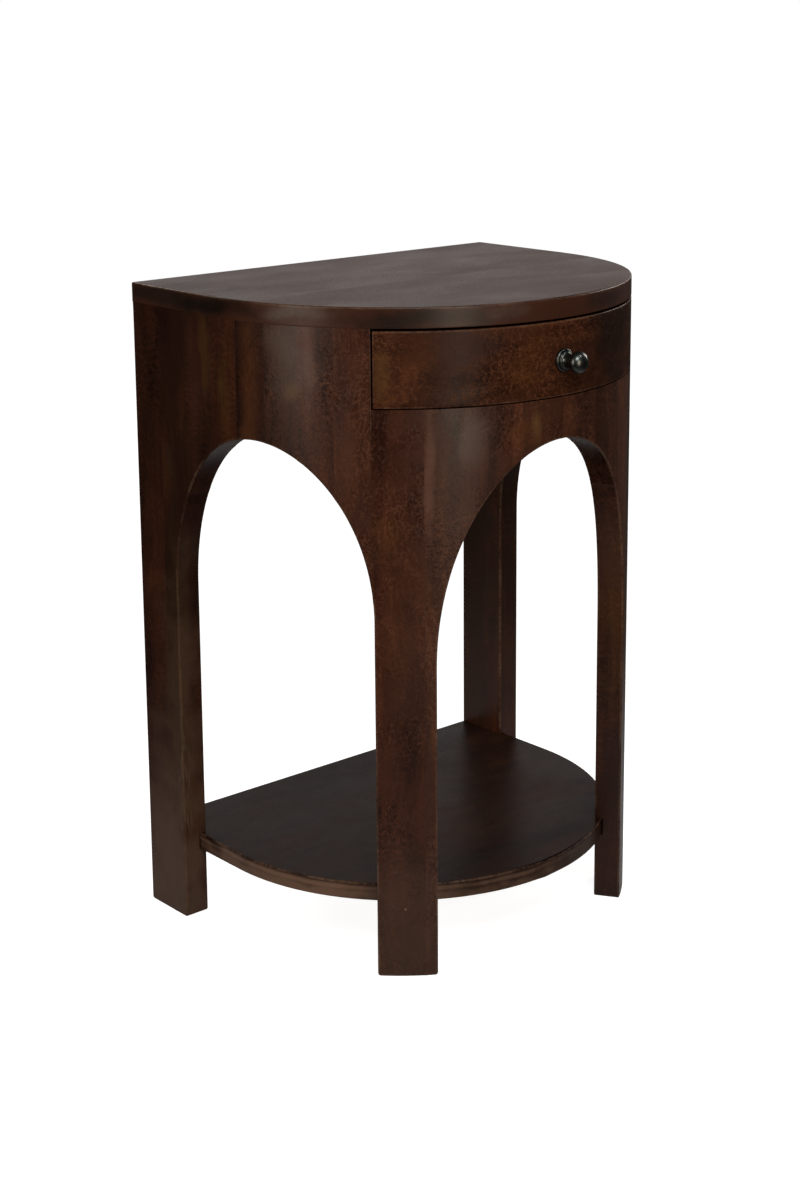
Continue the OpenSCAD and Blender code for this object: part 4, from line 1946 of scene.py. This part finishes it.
@dataclass
class Fittings:
    """Inner pieces of the model that keep their own shape and get their finish here.

    Eased is the width of the bevel on their sawn edges, which are those that turn by
    more than the angle in degrees, and weld the gap across which points are merged.
    """

    shelf: ShaderShelf
    nodes: dict[str, bpy.types.Object]
    eased: float = 0.0005
    eased_from: float = 50.0
    eased_steps: int = 2
    weld: float = 1e-5
    stained_seed: int = 700
    stained_tone: float = 0.9
    bare_seed: int = 800
    ply_seed: int = 900
    stained: dict[str, Grain] = field(default_factory=lambda: {"back_rail": Grain.ACROSS})
    bare: dict[str, Grain] = field(
        default_factory=lambda: {
            "front_bearer": Grain.ACROSS,
            "drawer_stops": Grain.ACROSS,
            "left_runner": Grain.DEEP,
            "right_runner": Grain.DEEP,
            "left_guide": Grain.DEEP,
            "right_guide": Grain.DEEP,
            "left_kicker": Grain.DEEP,
            "right_kicker": Grain.DEEP,
            "left_top_cleat": Grain.DEEP,
            "right_top_cleat": Grain.DEEP,
            "drawer_left_side": Grain.DEEP,
            "drawer_right_side": Grain.DEEP,
            "drawer_back": Grain.ACROSS,
            "back_rail_dowels": Grain.ACROSS,
            "runner_dowels": Grain.DEEP,
        }
    )
    ply: tuple[str, ...] = ("drawer_bottom",)
    steel: tuple[str, ...] = (
        "runner_screws",
        "kicker_screws",
        "cleat_screws",
        "top_screws",
        "drawer_screws",
        "knob_washer",
        "knob_screw",
    )

    def ease(self, piece: bpy.types.Object) -> None:
        """Softens the sawn edges of a piece with a small bevel.

        Args:
            piece: The piece.
        """
        weld = piece.modifiers.new("weld", "WELD")
        weld.merge_threshold = self.weld
        bevel = piece.modifiers.new("eased_edges", "BEVEL")
        bevel.width = self.eased
        bevel.segments = self.eased_steps
        bevel.limit_method = "ANGLE"
        bevel.angle_limit = math.radians(self.eased_from)
        bevel.harden_normals = False

    def dress(self, node: str, material: bpy.types.Material) -> None:
        """Puts a material on a node's slots.

        Args:
            node: Name of the node.
            material: The material.
        """
        piece = self.nodes[node]
        for slot in piece.material_slots:
            slot.material = material
        LOG.info("%s dressed in %s", node, material.name)

    def build(self) -> None:
        """Dresses every piece that keeps its shape."""
        for seed, (node, grain) in enumerate(self.stained.items(), self.stained_seed):
            look = Look(seed, self.stained_tone)
            self.dress(node, STAIN.material(self.shelf, node, grain, look))
            self.ease(self.nodes[node])
        for seed, (node, grain) in enumerate(self.bare.items(), self.bare_seed):
            self.dress(node, INNER.material(self.shelf, node, grain, Look(seed)))
            if "dowels" not in node:
                self.ease(self.nodes[node])
        for node in self.ply:
            look = Look(self.ply_seed)
            self.dress(node, PLY.material(self.shelf, node, Grain.ACROSS, look))
        bright = STEEL.material(self.shelf)
        for node in self.steel:
            self.dress(node, bright)


@dataclass(frozen=True)
class Lamp:
    """Soft lamp: where it hangs, what it faces, its size and its power."""

    name: str
    place: Triple
    target: Triple
    size: tuple[float, float]
    watts: float
    colour: Colour = WHITE

    def build(self) -> None:
        """Hangs the lamp, turned to face its target."""
        light = bpy.data.lights.new(self.name, "AREA")
        light.shape = "RECTANGLE"
        light.size, light.size_y = self.size
        light.energy = self.watts
        light.color = self.colour
        lamp = bpy.data.objects.new(self.name, light)
        lamp.visible_camera = False
        lamp.location = self.place
        x, y, z = np.array(self.target) - np.array(self.place)
        lamp.rotation_euler = (
            math.atan2(math.hypot(x, y), -z),
            0.0,
            math.atan2(y, x) - QUARTER_TURN,
        )
        bpy.context.scene.collection.objects.link(lamp)


@dataclass(frozen=True)
class Floor:
    """Round pale floor that stays white behind the object and keeps its shadow.

    Its own colour is a dim grey under the object and dimmer away from it. What the
    camera sees is a glow on top of that, white away from the object and a little less
    near it. Mirrors see the grey dimmed, and a share of the glow.
    """

    radii: tuple[float, ...] = (0.6, 1.5, 3.5, 7.0, 14.0)
    spokes: int = 96
    drop: float = 0.0002
    grey: float = 0.12
    near_grey: float = 0.36
    mirror_dim: float = 0.75
    mirror_share: float = 0.02
    near_mirror_share: float = 0.4
    glow: float = 0.9
    far_glow: float = 0.1

    def build(self) -> None:
        """Lays the floor just below the feet: rings of quads round a flat middle."""
        turn = np.linspace(0.0, FULL_TURN, self.spokes, endpoint=False)
        radius = np.array(self.radii)[:, None]
        x = radius * np.cos(turn)
        y = radius * np.sin(turn)
        points = np.stack([x, y, np.full_like(x, -self.drop)], axis=-1).reshape(-1, 3)
        index = np.arange(x.size).reshape(x.shape)
        wrap = np.concatenate([index, index[:, :1]], axis=1)
        faces = [*grid_quads(wrap)[:, ::-1].tolist(), index[0].tolist()]
        mesh = bpy.data.meshes.new("floor")
        mesh.from_pydata(points.tolist(), [], faces)
        mesh.materials.append(self.material())
        floor = bpy.data.objects.new("floor", mesh)
        bpy.context.scene.collection.objects.link(floor)

    def material(self) -> bpy.types.Material:
        """Makes the floor's material.

        Returns:
            The material.
        """
        made, w = blank_material("pale_floor")
        away = w.vector("LENGTH", w.place())
        far = w.smooth(away, Step.FAR_FLOOR)
        near = w.smooth(away, Step.NEAR_FLOOR)
        path = w.add("ShaderNodeLightPath", {})
        glossy = path.outputs["Is Glossy Ray"]
        mirrored = w.math("MAXIMUM", glossy, path.outputs["Is Transmission Ray"])
        shade = w.plus(w.times(near, self.near_grey), self.grey)
        kept = w.times(shade, w.less(1.0, w.times(glossy, self.mirror_dim)))
        grey = w.add("ShaderNodeCombineColor", {}, Red=kept, Green=kept, Blue=kept)
        grey_out = grey.outputs["Color"]
        plain = w.add("ShaderNodeBsdfDiffuse", {}, Color=grey_out, Roughness=0.0)
        share = w.plus(w.times(near, self.near_mirror_share), self.mirror_share)
        by_camera = path.outputs["Is Camera Ray"]
        seen = w.math("MAXIMUM", by_camera, w.times(mirrored, share))
        level = w.plus(w.times(far, self.far_glow), self.glow)
        glow = w.add("ShaderNodeEmission", {}, Color=WHITE, Strength=w.times(seen, level))
        both = w.add("ShaderNodeAddShader", {})
        w.put(both.inputs[0], plain.outputs["BSDF"])
        w.put(both.inputs[1], glow.outputs["Emission"])
        w.surface(both.outputs["Shader"])
        return made


@dataclass
class Studio:
    """Camera, lamps, floor and surroundings.

    The camera's angles are in degrees, its focal length and the place that it looks at
    in pixels of the photograph, and its sensor in millimetres.
    """

    frame_w: int = 800
    frame_h: int = 1200
    sensor: float = 36.0
    focal_px: float = 2038.38
    centre_px: tuple[float, float] = (404.05, 410.0)
    azimuth: float = -40.9441
    pitch: float = 11.5862
    roll: float = 0.4228
    place: Triple = (-1.30595, -1.44782, 0.90593)
    nearest: float = 0.05
    furthest: float = 60.0
    around: float = 0.08
    floor: Floor = Floor()
    lamps: tuple[Lamp, ...] = (
        Lamp("key", (-1.25, -1.9, 2.5), AIM_LOW, (1.1, 1.0), 64.0),
        Lamp("overhead", (0.45, -1.3, 2.4), (0.0, 0.0, 0.5), (0.35, 0.35), 9.0),
        Lamp("left_strip", (-2.3, -0.1, 0.98), AIM_HIGH, (0.4, 1.5), 23.0, SUNSET),
        Lamp("front_strip", (-0.65, -2.5, 0.75), AIM_HIGH, (0.7, 1.5), 29.0, AMBER),
        Lamp("back_panel", (2.1, 2.5, 1.05), AIM_HIGH, (3.4, 1.2), 7.7, PANEL_WHITE),
        Lamp("rear_fill", (-0.15, 2.7, 1.6), AIM_REAR, (0.7, 1.0), 42.0, FILL_WHITE),
        Lamp("right_fill", (2.7, 0.0, 1.5), AIM_LOW, (1.0, 1.0), 28.0, FILL_WHITE),
    )

    def build(self) -> None:
        """Sets up the camera, the lamps, the floor and the world."""
        self.camera()
        for lamp in self.lamps:
            lamp.build()
        self.floor.build()
        self.world()
        bpy.context.scene.view_settings.view_transform = "Standard"

    def camera(self) -> None:
        """Places the camera by azimuth, pitch and roll, with the lens moved off axis.

        Back is the way from the object to the camera, right is level, and up is square
        to both. The roll turns right and up about back.
        """
        data = bpy.data.cameras.new("camera")
        data.sensor_width = self.sensor
        data.lens = self.focal_px * self.sensor / self.frame_h
        data.shift_x = (self.frame_w / 2 - self.centre_px[0]) / self.frame_h
        data.shift_y = (self.centre_px[1] - self.frame_h / 2) / self.frame_h
        data.clip_start = self.nearest
        data.clip_end = self.furthest
        a, e, r = (math.radians(v) for v in (self.azimuth, self.pitch, self.roll))
        level = np.array([math.sin(a), -math.cos(a), 0.0])
        back = math.cos(e) * level + np.array([0.0, 0.0, math.sin(e)])
        right = np.array([math.cos(a), math.sin(a), 0.0])
        up = np.cross(back, right)
        matrix = np.eye(4)
        matrix[:3, 0] = math.cos(r) * right - math.sin(r) * up
        matrix[:3, 1] = math.sin(r) * right + math.cos(r) * up
        matrix[:3, 2] = back
        matrix[:3, 3] = self.place
        camera = bpy.data.objects.new("camera", data)
        bpy.context.scene.collection.objects.link(camera)
        camera.matrix_world = Matrix(matrix.tolist())
        bpy.context.scene.camera = camera

    def world(self) -> None:
        """Surrounds the object with plain soft light that the camera sees as white."""
        world = bpy.data.worlds.new("surroundings")
        bpy.context.scene.world = world
        world.use_nodes = True
        world.node_tree.nodes.clear()
        w = Wiring(world.node_tree)
        seen = w.add("ShaderNodeLightPath", {}).outputs["Is Camera Ray"]
        level = w.plus(w.times(seen, 1.0 - self.around), self.around)
        glow = w.add("ShaderNodeBackground", {}, Color=WHITE, Strength=level)
        w.surface(glow.outputs["Background"], "ShaderNodeOutputWorld")


class Stain(Enum):
    """Colours of the places where the stain took differently, and of painted highlight,
    sheen and shade.
    """

    # Dark brown: a darker streak on the left flank, and painted shade on the top's edge and
    # the drawer's right half.
    DARK = (0.0080, 0.0032, 0.0016)
    # Painted shade, darkest of all, on the top's edge at the far left.
    INK = (0.0050, 0.0022, 0.0012)
    OLIVE = (0.0460, 0.0210, 0.0055)
    PALE_OLIVE = (0.0760, 0.0400, 0.0120)
    # Painted shade, dark olive: darkens the back legs on both flanks.
    SHADE_OLIVE = (0.0230, 0.0142, 0.0068)
    ORANGE = (0.0620, 0.0215, 0.0058)
    RED = (0.0360, 0.0110, 0.0062)
    DEEP_RED = (0.0120, 0.0052, 0.0036)
    PINK = (0.0700, 0.0320, 0.0220)
    PURPLE = (0.0180, 0.0080, 0.0064)
    # Painted sheen: a warm grey where the surface catches the lamps.
    GREY = (0.0520, 0.0350, 0.0275)
    RESIDUE = (0.1300, 0.1000, 0.0720)
    # Pale brown: lightens the lower part of the legs, and is part of the painted highlight
    # on the shelf's edge.
    FADED = (0.0470, 0.0260, 0.0155)
    # Painted highlight along the shelf's front edge.
    EDGE_BROWN = (0.1250, 0.0740, 0.0500)


@dataclass(frozen=True)
class Mark:
    """Place on the shell whose colour differs, by its reach and height. Most are places
    where the stain took differently; the rest are painted highlight, sheen and shade.
    """

    reach: float
    z: float
    half_w: float
    half_h: float
    stain: Stain
    strength: float = 0.6
    broken: float = 0.0

    def patch(self, shape: CaseShape) -> Patch:
        """Patch at this place, as deep as it is wide.

        Args:
            shape: Sizes of the case.

        Returns:
            The patch.
        """
        spot = shape.on_shell(np.array([self.reach]), np.array([self.z]), np.zeros(1))[0]
        size = (self.half_w, self.half_w, self.half_h)
        place = (float(spot[0]), float(spot[1]), float(spot[2]))
        return Patch(place, size, self.stain.value, self.strength, self.broken)


SHELL_MARKS = (
    Mark(-0.413, 0.576, 0.016, 0.040, Stain.DARK, 0.5, 0.7),
    Mark(-0.388, 0.550, 0.014, 0.090, Stain.RED, 0.5, 0.3),
    Mark(-0.370, 0.580, 0.011, 0.045, Stain.OLIVE, 0.7, 0.4),
    Mark(-0.344, 0.550, 0.012, 0.045, Stain.OLIVE, 0.7, 0.4),
    Mark(-0.309, 0.565, 0.013, 0.060, Stain.ORANGE, 0.45, 0.5),
    Mark(-0.311, 0.505, 0.012, 0.040, Stain.ORANGE, 0.4, 0.4),
    # Painted highlight near the top of the left flank, where it catches the lamps.
    Mark(-0.272, 0.600, 0.022, 0.026, Stain.GREY, 0.6, 0.2),
    Mark(-0.262, 0.570, 0.026, 0.030, Stain.GREY, 0.4, 0.2),
    Mark(-0.246, 0.580, 0.006, 0.060, Stain.PINK, 0.6, 0.2),
    Mark(-0.262, 0.556, 0.010, 0.010, Stain.PALE_OLIVE, 0.5, 0.4),
    Mark(-0.229, 0.600, 0.014, 0.035, Stain.PURPLE, 0.6, 0.2),
    Mark(-0.212, 0.531, 0.012, 0.060, Stain.PURPLE, 0.5, 0.2),
    Mark(-0.203, 0.587, 0.012, 0.050, Stain.RED, 0.5, 0.3),
    Mark(-0.178, 0.431, 0.014, 0.034, Stain.ORANGE, 0.55, 0.6),
    Mark(-0.162, 0.514, 0.018, 0.020, Stain.RED, 0.5, 0.4),
    Mark(-0.136, 0.490, 0.006, 0.085, Stain.PINK, 0.6, 0.1),
    # Painted highlight on the staves below the drawer.
    Mark(-0.098, 0.512, 0.024, 0.026, Stain.GREY, 0.55, 0.1),
    Mark(-0.050, 0.516, 0.016, 0.020, Stain.ORANGE, 0.5, 0.4),
    Mark(-0.032, 0.520, 0.007, 0.018, Stain.PALE_OLIVE, 0.7, 0.3),
    Mark(-0.168, 0.320, 0.018, 0.110, Stain.ORANGE, 0.35, 0.8),
    Mark(0.135, 0.330, 0.030, 0.160, Stain.OLIVE, 0.4, 0.4),
    # Painted shade down the left back leg.
    Mark(-0.430, 0.260, 0.016, 0.260, Stain.SHADE_OLIVE, 0.5, 0.2),
    Mark(-0.424, 0.135, 0.011, 0.075, Stain.RESIDUE, 0.45, 1.0),
    Mark(-0.418, 0.240, 0.036, 0.150, Stain.FADED, 0.6, 0.2),
    # Painted shade down the right back leg.
    Mark(0.462, 0.330, 0.050, 0.300, Stain.SHADE_OLIVE, 0.6, 0.1),
    Mark(0.135, 0.100, 0.070, 0.130, Stain.DEEP_RED, 0.9, 0.2),
    Mark(-0.455, 0.060, 0.060, 0.140, Stain.FADED, 0.95, 0.1),
    Mark(-0.160, 0.040, 0.050, 0.100, Stain.FADED, 0.4, 0.1),
    Mark(-0.162, 0.270, 0.024, 0.080, Stain.DEEP_RED, 0.4, 0.4),
)
DRAWER_MARKS = (
    Mark(-0.180, 0.578, 0.010, 0.050, Stain.PALE_OLIVE, 0.3, 0.2),
    Mark(-0.150, 0.590, 0.020, 0.022, Stain.ORANGE, 0.25, 0.4),
    Mark(-0.098, 0.600, 0.040, 0.020, Stain.PURPLE, 0.8, 0.1),
    # Painted sheen low on the left half of the drawer's face.
    Mark(-0.112, 0.556, 0.036, 0.010, Stain.GREY, 0.12, 0.2),
    Mark(-0.042, 0.574, 0.024, 0.022, Stain.ORANGE, 0.5, 0.5),
    Mark(-0.034, 0.598, 0.016, 0.012, Stain.ORANGE, 0.35, 0.5),
    # Painted shade over the right half of the drawer's face.
    Mark(0.085, 0.585, 0.080, 0.070, Stain.DARK, 1.0, 0.1),
)
# Painted light and shade along the top's front edge: the grey places are painted highlight,
# the dark ones painted shade.
TOP_MARKS = (
    Mark(-0.450, 0.6265, 0.100, 0.013, Stain.DARK, 0.8),
    Mark(-0.360, 0.6265, 0.075, 0.013, Stain.INK, 1.0),
    Mark(-0.262, 0.6275, 0.040, 0.008, Stain.GREY, 0.9, 0.3),
    Mark(-0.140, 0.6235, 0.090, 0.012, Stain.DARK, 0.95),
    Mark(-0.060, 0.6260, 0.028, 0.009, Stain.GREY, 0.45, 0.4),
    Mark(0.070, 0.6255, 0.060, 0.012, Stain.DEEP_RED, 0.8),
)
# Painted highlight along the shelf's front edge, lighter on the left than on the right.
SHELF_EDGE = (
    Patch((-0.16, -0.02, 0.0715), (0.20, 0.20, 0.0085), Stain.EDGE_BROWN.value, 0.62),
    Patch((-0.16, -0.02, 0.0790), (0.22, 0.22, 0.0035), Stain.EDGE_BROWN.value, 0.66),
    Patch((0.06, -0.10, 0.0715), (0.3, 0.2, 0.0080), Stain.FADED.value, 0.24),
    Patch((0.06, -0.10, 0.0790), (0.3, 0.2, 0.0035), Stain.FADED.value, 0.22),
)


def patches_of(marks: Sequence[Mark], shape: CaseShape) -> tuple[Patch, ...]:
    """Patches of some marks, in their order."""
    return tuple(mark.patch(shape) for mark in marks)


@dataclass(frozen=True)
class StaveTones:
    """Tones of the staves of one group, counted from the back or from the left.

    Wear has its own value only for the staves that it names by their number.
    """

    name: str
    tones: tuple[float, ...]
    flecks: tuple[float, ...] = (0.3,) * 8
    gloss: tuple[float, ...] = (1.0,) * 8
    wear: tuple[tuple[int, float], ...] = ()


# The tones are partly each board's own tone and partly painted shade: the staves far out on
# the left flank, and those right of the drawer, are darker where the light falls off.
STAVE_TONES = (
    StaveTones(
        "left",
        (0.54, 0.38, 0.53, 0.58, 0.50, 0.77, 0.85, 0.75),
        flecks=(1.1, 0.8, 0.7, 0.8, 1.0, 2.1, 2.3, 2.0),
        gloss=(0.6, 0.55, 0.55, 0.6, 0.75, 1.05, 1.05, 1.0),
        wear=((2, 0.45),),
    ),
    StaveTones("right", (0.92, 0.95, 0.88, 0.92, 0.88, 0.78, 0.72, 0.66), wear=((2, 3.0),)),
    StaveTones(
        "front",
        (0.76, 0.86, 0.98, 0.98, 0.84, 0.70, 0.80, 0.58),
        flecks=(1.7,) * 4 + (1.6,) * 4,
    ),
)
WARMTH_SEED = 41
WARMTH_RANGE = (-0.04, 0.1)
# First seeds of the figures of the staves, the top's boards, the shelf and the drawer.
STAVE_SEED, TOP_SEED, SHELF_SEED, DRAWER_SEED = 100, 300, 320, 330


def stave_looks(shape: CaseShape, shell: Shell) -> dict[str, Look]:
    """Chooses the look of each stave.

    Args:
        shape: Sizes of the case.
        shell: The shell, which knows where its seams are.

    Returns:
        Looks by the name of the stave's node, with the marks that touch the stave.
    """
    rng = np.random.default_rng(WARMTH_SEED)
    seams = np.array(shell.seams())
    edges = {
        "left": -seams,
        "right": seams,
        "front": np.linspace(-shape.seam_reach, shape.seam_reach, shell.front_staves + 1),
    }
    looks: dict[str, Look] = {}
    for group in STAVE_TONES:
        for number, tone in enumerate(group.tones, 1):
            low, high = sorted(edges[group.name][number - 1 : number + 1])
            marks = [m for m in SHELL_MARKS if low - m.half_w < m.reach < high + m.half_w]
            looks[f"{group.name}_stave_{number}"] = Look(
                seed=STAVE_SEED + len(looks),
                tone=tone,
                warmth=float(rng.uniform(*WARMTH_RANGE)),
                wear=dict(group.wear).get(number, 1.0),
                gloss=group.gloss[number - 1],
                flecks=group.flecks[number - 1],
                patches=patches_of(marks, shape),
            )
    return looks


def build_top(shape: CaseShape, shelf: ShaderShelf) -> None:
    """Builds the table top, glued up from four boards.

    Args:
        shape: Sizes of the case.
        shelf: Shader groups.
    """
    nodes = tuple(f"top_board_{number}" for number in range(1, 5))
    tops = FlatBoards(
        shape,
        shelf,
        "table_top",
        nodes,
        upper_z=shape.table_top,
        thickness=shape.table_top - shape.case_top,
        inset=0.0,
        back_share=0.15,
        wood=TOP_STAIN,
    )
    # Painted highlight and shade along the front edge.
    edge = patches_of(TOP_MARKS, shape)
    seeds = range(TOP_SEED, TOP_SEED + len(nodes))
    tops.build([Look(seed=seed, tone=0.88, flecks=0.12, patches=edge) for seed in seeds])


def build_shelf(shape: CaseShape, shelf: ShaderShelf) -> None:
    """Builds the low shelf.

    Args:
        shape: Sizes of the case.
        shelf: Shader groups.
    """
    board = FlatBoards(
        shape, shelf, "low_shelf", ("shelf",), upper_z=0.084, thickness=0.017, inset=0.019
    )
    # Painted shade: a tone of 0.27 darkens the whole board as if in the case's shadow. Its
    # front edge carries painted highlight.
    look = Look(seed=SHELF_SEED, tone=0.27, wear=1.5, gloss=0.48, patches=SHELF_EDGE)
    board.build([look])


def build_drawer(shape: CaseShape, shelf: ShaderShelf) -> None:
    """Builds the drawer's front and its knob.

    Args:
        shape: Sizes of the case.
        shelf: Shader groups.
    """
    # Stain marks on the drawer's face, with painted sheen and painted shade.
    marks = patches_of(DRAWER_MARKS, shape)
    look = Look(seed=DRAWER_SEED, tone=0.78, gloss=0.29, flecks=2.7, patches=marks)
    DrawerFace(shape, shelf).build(look)
    Knob(shelf).build()


def main() -> None:
    """Builds the sub-assemblies in order and reports each piece."""
    logging.basicConfig(level=logging.INFO, format="%(message)s")
    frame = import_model()
    shape = CaseShape()
    shelf = ShaderShelf()
    Studio().build()
    shell = Shell(shape, shelf)
    shell.build(stave_looks(shape, shell))
    build_top(shape, shelf)
    build_shelf(shape, shelf)
    build_drawer(shape, shelf)
    Fittings(shelf, frame["nodes"]).build()
    bpy.context.view_layer.update()


if __name__ == "__main__":
    main()
